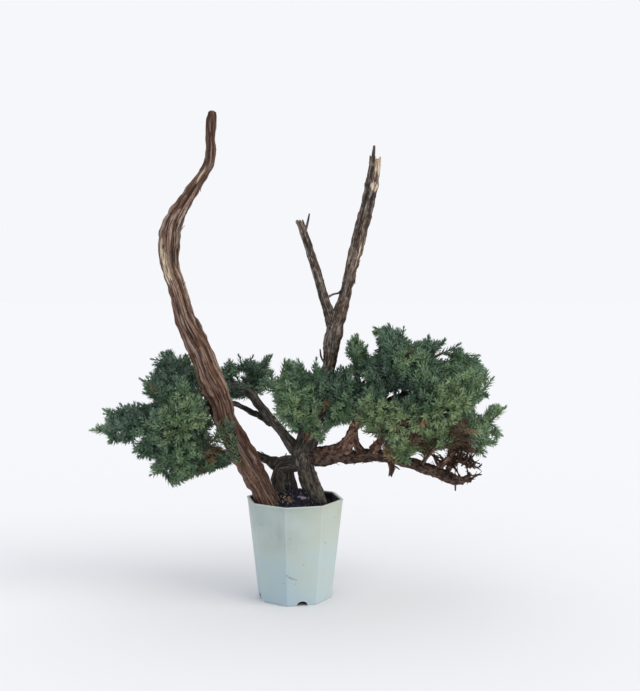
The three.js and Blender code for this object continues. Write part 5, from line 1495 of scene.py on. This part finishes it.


# Moulded polypropylene, pale grey-green: satin, faintly mottled from handling, with soil dust in
# a few faint runs. Its right side is painted lighter, as if sunlit, and it goes bluish towards the
# foot, a painted reflection of the sky.
def pottedPolypropylene():
    material, add, place = startMaterial("mouldedPolypropylene")
    x, _, z = add("ShaderNodeSeparateXYZ", (place,)).node.outputs
    stretched = add("ShaderNodeMapping", {"Vector": place, "Scale": (1, 1, 0.12)})
    mottle, runs, grain = (
        add("ShaderNodeTexNoise",
            {"Vector": vector, "Scale": scale, "Detail": detail, "Roughness": rough}, "Fac")
        for vector, scale, detail, rough in (
            (place, 26.0, 4, 0.55), (stretched, 90.0, 3, 0.6), (place, 900.0, 2, 0.5)))
    worn, stained = (add("ShaderNodeAttribute", output="Fac", attribute_name=name)
                     for name in ("worn", "stained"))
    uneven = add("ShaderNodeMath", (mottle, 0.5), operation="SUBTRACT")
    upward = add("ShaderNodeMath", (z, pot["height"] * mm), operation="DIVIDE")
    level = add("ShaderNodeMath", (uneven, 1.6, upward), operation="MULTIPLY_ADD")
    # painted reflection: both ramps turn bluish towards the foot, as the sky's reflection
    shaded = add("ShaderNodeValToRGB", (level,),
                 stops=[(0.05, "#a7bcc4"), (0.4, "#abbdbe"), (0.65, "#acbab6"), (1.0, "#a2b1ac")])
    sunned = add("ShaderNodeValToRGB", (level,),
                 stops=[(0.05, "#bccacd"), (0.4, "#bfccc7"), (0.65, "#c3cdc0"), (1.0, "#c4c9b4")])
    # painted light: the pot's right side, towards the key light, takes the lighter sunned colours, its
    # left side the shaded ones
    facing = add("ShaderNodeMath", (x, 13.0, 0.1), operation="MULTIPLY_ADD", use_clamp=True)
    colour = add("ShaderNodeMix", {0: facing, 6: shaded, 7: sunned}, 2, data_type="RGBA")
    shadeMottle = add("ShaderNodeMath", (mottle, 0.2, 0.88), operation="MULTIPLY_ADD", use_clamp=True)
    layers = [(add("ShaderNodeMapRange", (runs, 0.55, 1.175, 0, 0.5)), "#94a09b"),
              # painted highlight: the corners and rim are painted pale
              (add("ShaderNodeMath", (worn, 0.5), operation="MULTIPLY"), "#d9dfdf"),
              # painted shade: the inside wall is painted nearly black, a little mottled
              (add("ShaderNodeMath", (stained, shadeMottle), operation="MULTIPLY"), "#0c0d16")]
    for centre, half, much in potMarks:
        offset = add("ShaderNodeVectorMath", (place, [v * mm for v in centre]), operation="SUBTRACT")
        scaled = add("ShaderNodeVectorMath", (offset, [v * mm for v in half]), operation="DIVIDE")
        far = add("ShaderNodeVectorMath", (scaled,), 1, operation="LENGTH")
        ragged = add("ShaderNodeMath", (runs, 1.2, far), operation="MULTIPLY_ADD")
        layers.append((add("ShaderNodeMapRange", (ragged, 1.85, 1.225, 0, much)), "#3d423f"))
    for factor, layer in layers:
        colour = add("ShaderNodeMix", {0: factor, 6: colour, 7: linearColour(layer)}, 2, data_type="RGBA")
    dull = add("ShaderNodeMath", (stained, 0.5, 0.36), operation="MULTIPLY_ADD")
    return endMaterial(material, {
        "Base Color": colour, "IOR": 1.49,
        "Roughness": add("ShaderNodeMath", (mottle, 0.16, dull), operation="MULTIPLY_ADD"),
        "Normal": add("ShaderNodeBump", {"Strength": 0.12, "Distance": 0.0002, "Height": grain})})


octagonPot = makePot()
octagonPot.data.materials.clear()
octagonPot.data.materials.append(pottedPolypropylene())
settle(octagonPot, "pot_plastic", "pot")
print("pot made:", len(octagonPot.data.polygons), "faces")

# The potting mix in millimetres: the solid's own edge height and mound, and the crumbs on it.
soil = {
    "edgeHeight": 110.0, "moundHeight": 21.0, "moundCentre": (-4.0, 10.0), "moundRadius": 31.0,
    "sectors": 160, "rings": 52, "lump": 1.5, "lumpCell": 5, "fine": 0.9, "fineCell": 1.6, "seed": 5,
    "gap": 0.35, "cornerInset": 1.2, "edgeRise": 0.6,        # to the pot's wall, and over its edge
    "crumbs": 230000.0, "crumbSize": 1.15,     # how many to a square metre
    "chips": 14000.0, "chipSize": 2.6,
}


# An uneven lump: points and faces.
def lumpMesh(centre, size, seed, detail):
    rng = random.Random(seed)
    shape = bmesh.new()
    bmesh.ops.create_icosphere(shape, subdivisions=detail, radius=1)
    swell = [1 + 0.32 * (rng.random() - 0.5) for _ in shape.verts]
    verts = [tuple(centre[k] + v.co[k] * size[k] * s for k in range(3))
             for v, s in zip(shape.verts, swell)]
    faces = [[v.index for v in f.verts] for f in shape.faces]
    shape.free()
    return verts, faces


def moundAt(x, y):
    away = np.hypot(x - soil["moundCentre"][0], y - soil["moundCentre"][1])
    return soil["edgeHeight"] + soil["moundHeight"] * np.exp(-((away / soil["moundRadius"]) ** 2))


def makeSoil():
    rows = soil["rings"]
    turn = firstCorner + np.arange(soil["sectors"]) * 2 * math.pi / soil["sectors"]
    inFlat = np.mod(turn - firstCorner, math.pi / 4) - math.pi / 8

    def edgeAt(z):      # how far out the mix lies, at each turn
        return (insideAt(z) - soil["cornerInset"]) * flatShare / np.cos(inFlat) - soil["gap"]

    edge = edgeAt(soil["edgeHeight"])
    shares = np.linspace(1, 0, rows, endpoint=False)
    x = shares[:, None] * edge * np.cos(turn)
    y = shares[:, None] * edge * np.sin(turn)
    lumps, fine = (
        LatticeNoise(soil["seed"] + more, cells).at(x / size + shift, y / size + shift) - 0.5
        for more, cells, size, shift in ((0, 64, soil["lumpCell"], 30), (1, 128, soil["fineCell"], 60)))
    z = moundAt(x, y) + 2 * soil["lump"] * lumps + 2 * soil["fine"] * fine
    z[0] = np.minimum(z[0], soil["edgeHeight"] + soil["edgeRise"])
    top = np.stack([x, y, z], -1).reshape(-1, 3)
    floorZ = pot["skirt"] + pot["floor"] + soil["gap"]
    low = edgeAt(floorZ)
    bottom = np.stack([low * np.cos(turn), low * np.sin(turn), np.full(len(turn), floorZ)], -1)
    n = soil["sectors"]
    centreTop, centreBottom = len(top) + n, len(top) + n + 1
    verts = np.vstack([top, bottom, [[0, 0, moundAt(0, 0)]], [[0, 0, floorZ]]])
    faces = ringFaces(rows, n)
    for k in range(n):
        following = (k + 1) % n
        faces.append([(rows - 1) * n + k, (rows - 1) * n + following, centreTop])
        faces.append([len(top) + k, len(top) + following, following, k])
        faces.append([len(top) + following, len(top) + k, centreBottom])
    return meshPiece("pottingMixBase", verts, faces)


# Crumbs and chips strewn over the mix, sunk a little into it.
def soilTree(material):
    tree, sockets, add, given = startTree("soilCrumbs", [
        ("Crumb", "Object", None), ("Chip", "Object", None), ("Crumbs", "Float", soil["crumbs"]),
        ("Chips", "Float", soil["chips"]), ("Seed", "Int", 3)])
    facing = add("ShaderNodeSeparateXYZ", (add("GeometryNodeInputNormal"),), "Z")
    upward = add("FunctionNodeCompare", (facing, 0.3), data_type="FLOAT", operation="GREATER_THAN")
    parts = [given["Geometry"]]
    # the shape, how dense it lies, its least and largest scale, its tilt and its least tone
    for number, (label, density, low, high, tilt, leastTone) in enumerate((
            ("Crumb", "Crumbs", 0.35, 1.5, 6.28, 0.0), ("Chip", "Chips", 0.5, 1.4, 0.5, 0.55))):
        seeds = [add("ShaderNodeMath", (given["Seed"], 10.0 * number + more), operation="ADD")
                 for more in range(4)]
        strewn = add("GeometryNodeDistributePointsOnFaces",
                     {"Mesh": given["Geometry"], "Selection": upward, "Density": given[density],
                      "Seed": seeds[0]}, distribute_method="RANDOM").node.outputs
        turn = add("FunctionNodeRandomValue", {0: (0, 0, 0), 1: (tilt, tilt, 6.28), "Seed": seeds[1]},
                   data_type="FLOAT_VECTOR")
        size = add("FunctionNodeRandomValue", {0: (low,) * 3, 1: (high,) * 3, "Seed": seeds[2]},
                   data_type="FLOAT_VECTOR")
        tone = add("FunctionNodeRandomValue", {2: leastTone, 3: 1.0, "Seed": seeds[3]}, 1,
                   data_type="FLOAT")
        spin = add("FunctionNodeEulerToRotation", (turn,))
        turned = add("FunctionNodeRotateRotation", {"Rotation": strewn["Rotation"], "Rotate By": spin},
                     rotation_space="LOCAL")
        shape = add("GeometryNodeObjectInfo", {"Object": given[label], "As Instance": True}, "Geometry")
        placed = add("GeometryNodeInstanceOnPoints", {
            "Points": strewn["Points"], "Instance": shape, "Rotation": turned, "Scale": size})
        parts.append(add("GeometryNodeStoreNamedAttribute",
                         {"Geometry": placed, "Name": "crumbTone", "Value": tone},
                         data_type="FLOAT", domain="INSTANCE"))
    endTree(tree, parts, material)
    return tree, sockets


# Damp potting mix: nearly black peat and bark crumbs, a few brown and a few dusty ones. Its blue
# tint and the lighter blue-lilac crumbs are a painted reflection of the sky on the damp mix.
def pottingMix():
    material, add, place = startMaterial("dampPottingMix")
    damp = add("ShaderNodeTexNoise",
               {"Vector": place, "Scale": 420.0, "Detail": 5, "Roughness": 0.65}, "Fac")
    tone = add("ShaderNodeAttribute", output="Fac", attribute_name="crumbTone")
    # near black with a blue tint, the tint a painted reflection of the sky
    dark = add("ShaderNodeValToRGB", (damp,),
               stops=[(0.3, "#0a0b14"), (0.55, "#191b2b"), (0.75, "#2e3043")])
    # the blue-lilac crumb tones are painted reflection of the sky; the browns are the crumbs' own
    crumb = add("ShaderNodeValToRGB", (tone,), stops=[
        (0.0, "#10111c"), (0.5, "#222336"), (0.8, "#3d4060"), (0.93, "#65564e"), (1.0, "#9c8d80")])
    return endMaterial(material, {
        "Base Color": add("ShaderNodeMix", {0: 0.75, 6: dark, 7: crumb}, 2, data_type="RGBA"),
        "Roughness": 0.85, "IOR": 1.4,
        "Normal": add("ShaderNodeBump", {"Strength": 0.7, "Distance": 0.0006, "Height": damp})})


def hiddenShape(name, verts, faces):
    shape = meshPiece(name, verts, faces)
    bpy.context.scene.collection.objects.unlink(shape)
    return shape


crumbShape = hiddenShape("crumb", *lumpMesh((0, 0, 0), [soil["crumbSize"]] * 3, 31, 1))
chipShape = hiddenShape(
    "chip", *lumpMesh((0, 0, 0), [soil["chipSize"] * k for k in (1, 0.42, 0.2)], 32, 1))
mixTree, mixSockets = soilTree(pottingMix())
mixMesh = grownMesh(makeSoil(), mixTree, mixSockets, {"Crumb": crumbShape, "Chip": chipShape})
pottingMixPiece = pieceOf("pottingMix", mixMesh)
settle(pottingMixPiece, "potting_mix", "soil")
print("potting mix made:", len(mixMesh.polygons), "faces")


# Rough stone or bark grit: broken colour at the size of its grains.
def gritMaterial(name, low, middle, high):
    material, add, place = startMaterial(name)
    grains = add("ShaderNodeTexNoise",
                 {"Vector": place, "Scale": 700.0, "Detail": 4, "Roughness": 0.6}, "Fac")
    colour = add("ShaderNodeValToRGB", (grains,), stops=[(0.3, low), (0.5, middle), (0.7, high)])
    return endMaterial(material, {
        "Base Color": colour,
        "Roughness": 0.82, "IOR": 1.5,
        "Normal": add("ShaderNodeBump", {"Strength": 0.6, "Distance": 0.0003, "Height": grains})})


# Each loose bit's colours, and more of its kind on the mound: x, y, spread, size and how many.
looseBits = {
    "bark_chip": {"colours": ("#463a26", "#6a5c40", "#8a7a5c"), "more": (-8, -15, 4.5, 1.9, 12)},
    "pink_grit": {"colours": ("#6e5450", "#a08580", "#c4aca6"), "more": (-11, -11, 6.0, 1.5, 9)},
    "pale_grit": {"colours": ("#5c5468", "#8c8396", "#b6aabc"), "more": (9, -7, 4.5, 1.7, 10)},
}
chance = random.Random(17)
for number, (node, bit) in enumerate(looseBits.items()):
    low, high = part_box(node)
    grit = gritMaterial(node.replace("_", " "), *bit["colours"])
    lump = meshPiece(
        node + "Lump", *lumpMesh((low + high) / 2 / mm, (high - low) / 2 / mm, 40 + number, 3))
    settle(lump, node, node)
    x, y, spread, size, count = bit["more"]
    verts, faces = [], []
    for n in range(count):
        across, back = x + spread * chance.uniform(-1, 1), y + spread * chance.uniform(-1, 1)
        bulk = [size * chance.uniform(0.5, 1.2) for _ in range(3)]
        more, sides = lumpMesh((across, back, float(moundAt(across, back)) + 0.8), bulk, 60 + n, 1)
        faces += [[len(verts) + corner for corner in side] for side in sides]
        verts += more
    strewn = meshPiece(node + "Strewn", verts, faces)
    settle(strewn, node)
    for piece in (lump, strewn):
        piece.data.materials.append(grit)
print("loose bits made")

# A plain pale floor that runs out of sight under an even pale sky, and soft light from the upper
# right. The floor's colour is the one that, with the sky and the suns on it, matches the sky.
stage = {
    "floorHalf": 30.0, "skyColour": "#f6f7fa", "floorShare": 0.818,
    "suns": [
        {"name": "keyRight", "from": (1.0, -0.45, 0.8), "strength": 1.2, "spreadDeg": 38,
         "colour": "#fff8ee"},
        {"name": "topSoft", "from": (-0.2, 0.25, 1.0), "strength": 0.32, "spreadDeg": 70,
         "colour": "#f6f9ff"},
    ],
}


def makeStage():
    half = stage["floorHalf"] / mm
    corners = [(-half, -half, 0), (half, -half, 0), (half, half, 0), (-half, half, 0)]
    floor = meshPiece("floor", corners, [[0, 1, 2, 3]], smooth=False)
    sky = linearColour(stage["skyColour"])
    grey = tuple(c * stage["floorShare"] for c in sky[:3]) + (1.0,)
    paper = endMaterial(startMaterial("paleMattFloor")[0],
                        {"Base Color": grey, "Roughness": 1.0, "Specular IOR Level": 0.0})
    floor.data.materials.append(paper)
    world = bpy.data.worlds.new("softSky")
    world.use_nodes = True
    background = world.node_tree.nodes["Background"]
    background.inputs["Color"].default_value = sky
    background.inputs["Strength"].default_value = 1.0
    bpy.context.scene.world = world
    for lamp in stage["suns"]:
        light = bpy.data.lights.new(lamp["name"], "SUN")
        light.energy = lamp["strength"]
        light.angle = math.radians(lamp["spreadDeg"])
        light.color = linearColour(lamp["colour"])[:3]
        holder = bpy.data.objects.new(lamp["name"], light)
        holder.rotation_euler = (-Vector(lamp["from"])).to_track_quat("-Z", "Y").to_euler()
        bpy.context.scene.collection.objects.link(holder)
    bpy.context.scene.view_settings.view_transform = "Standard"


makeStage()
print("stage made")
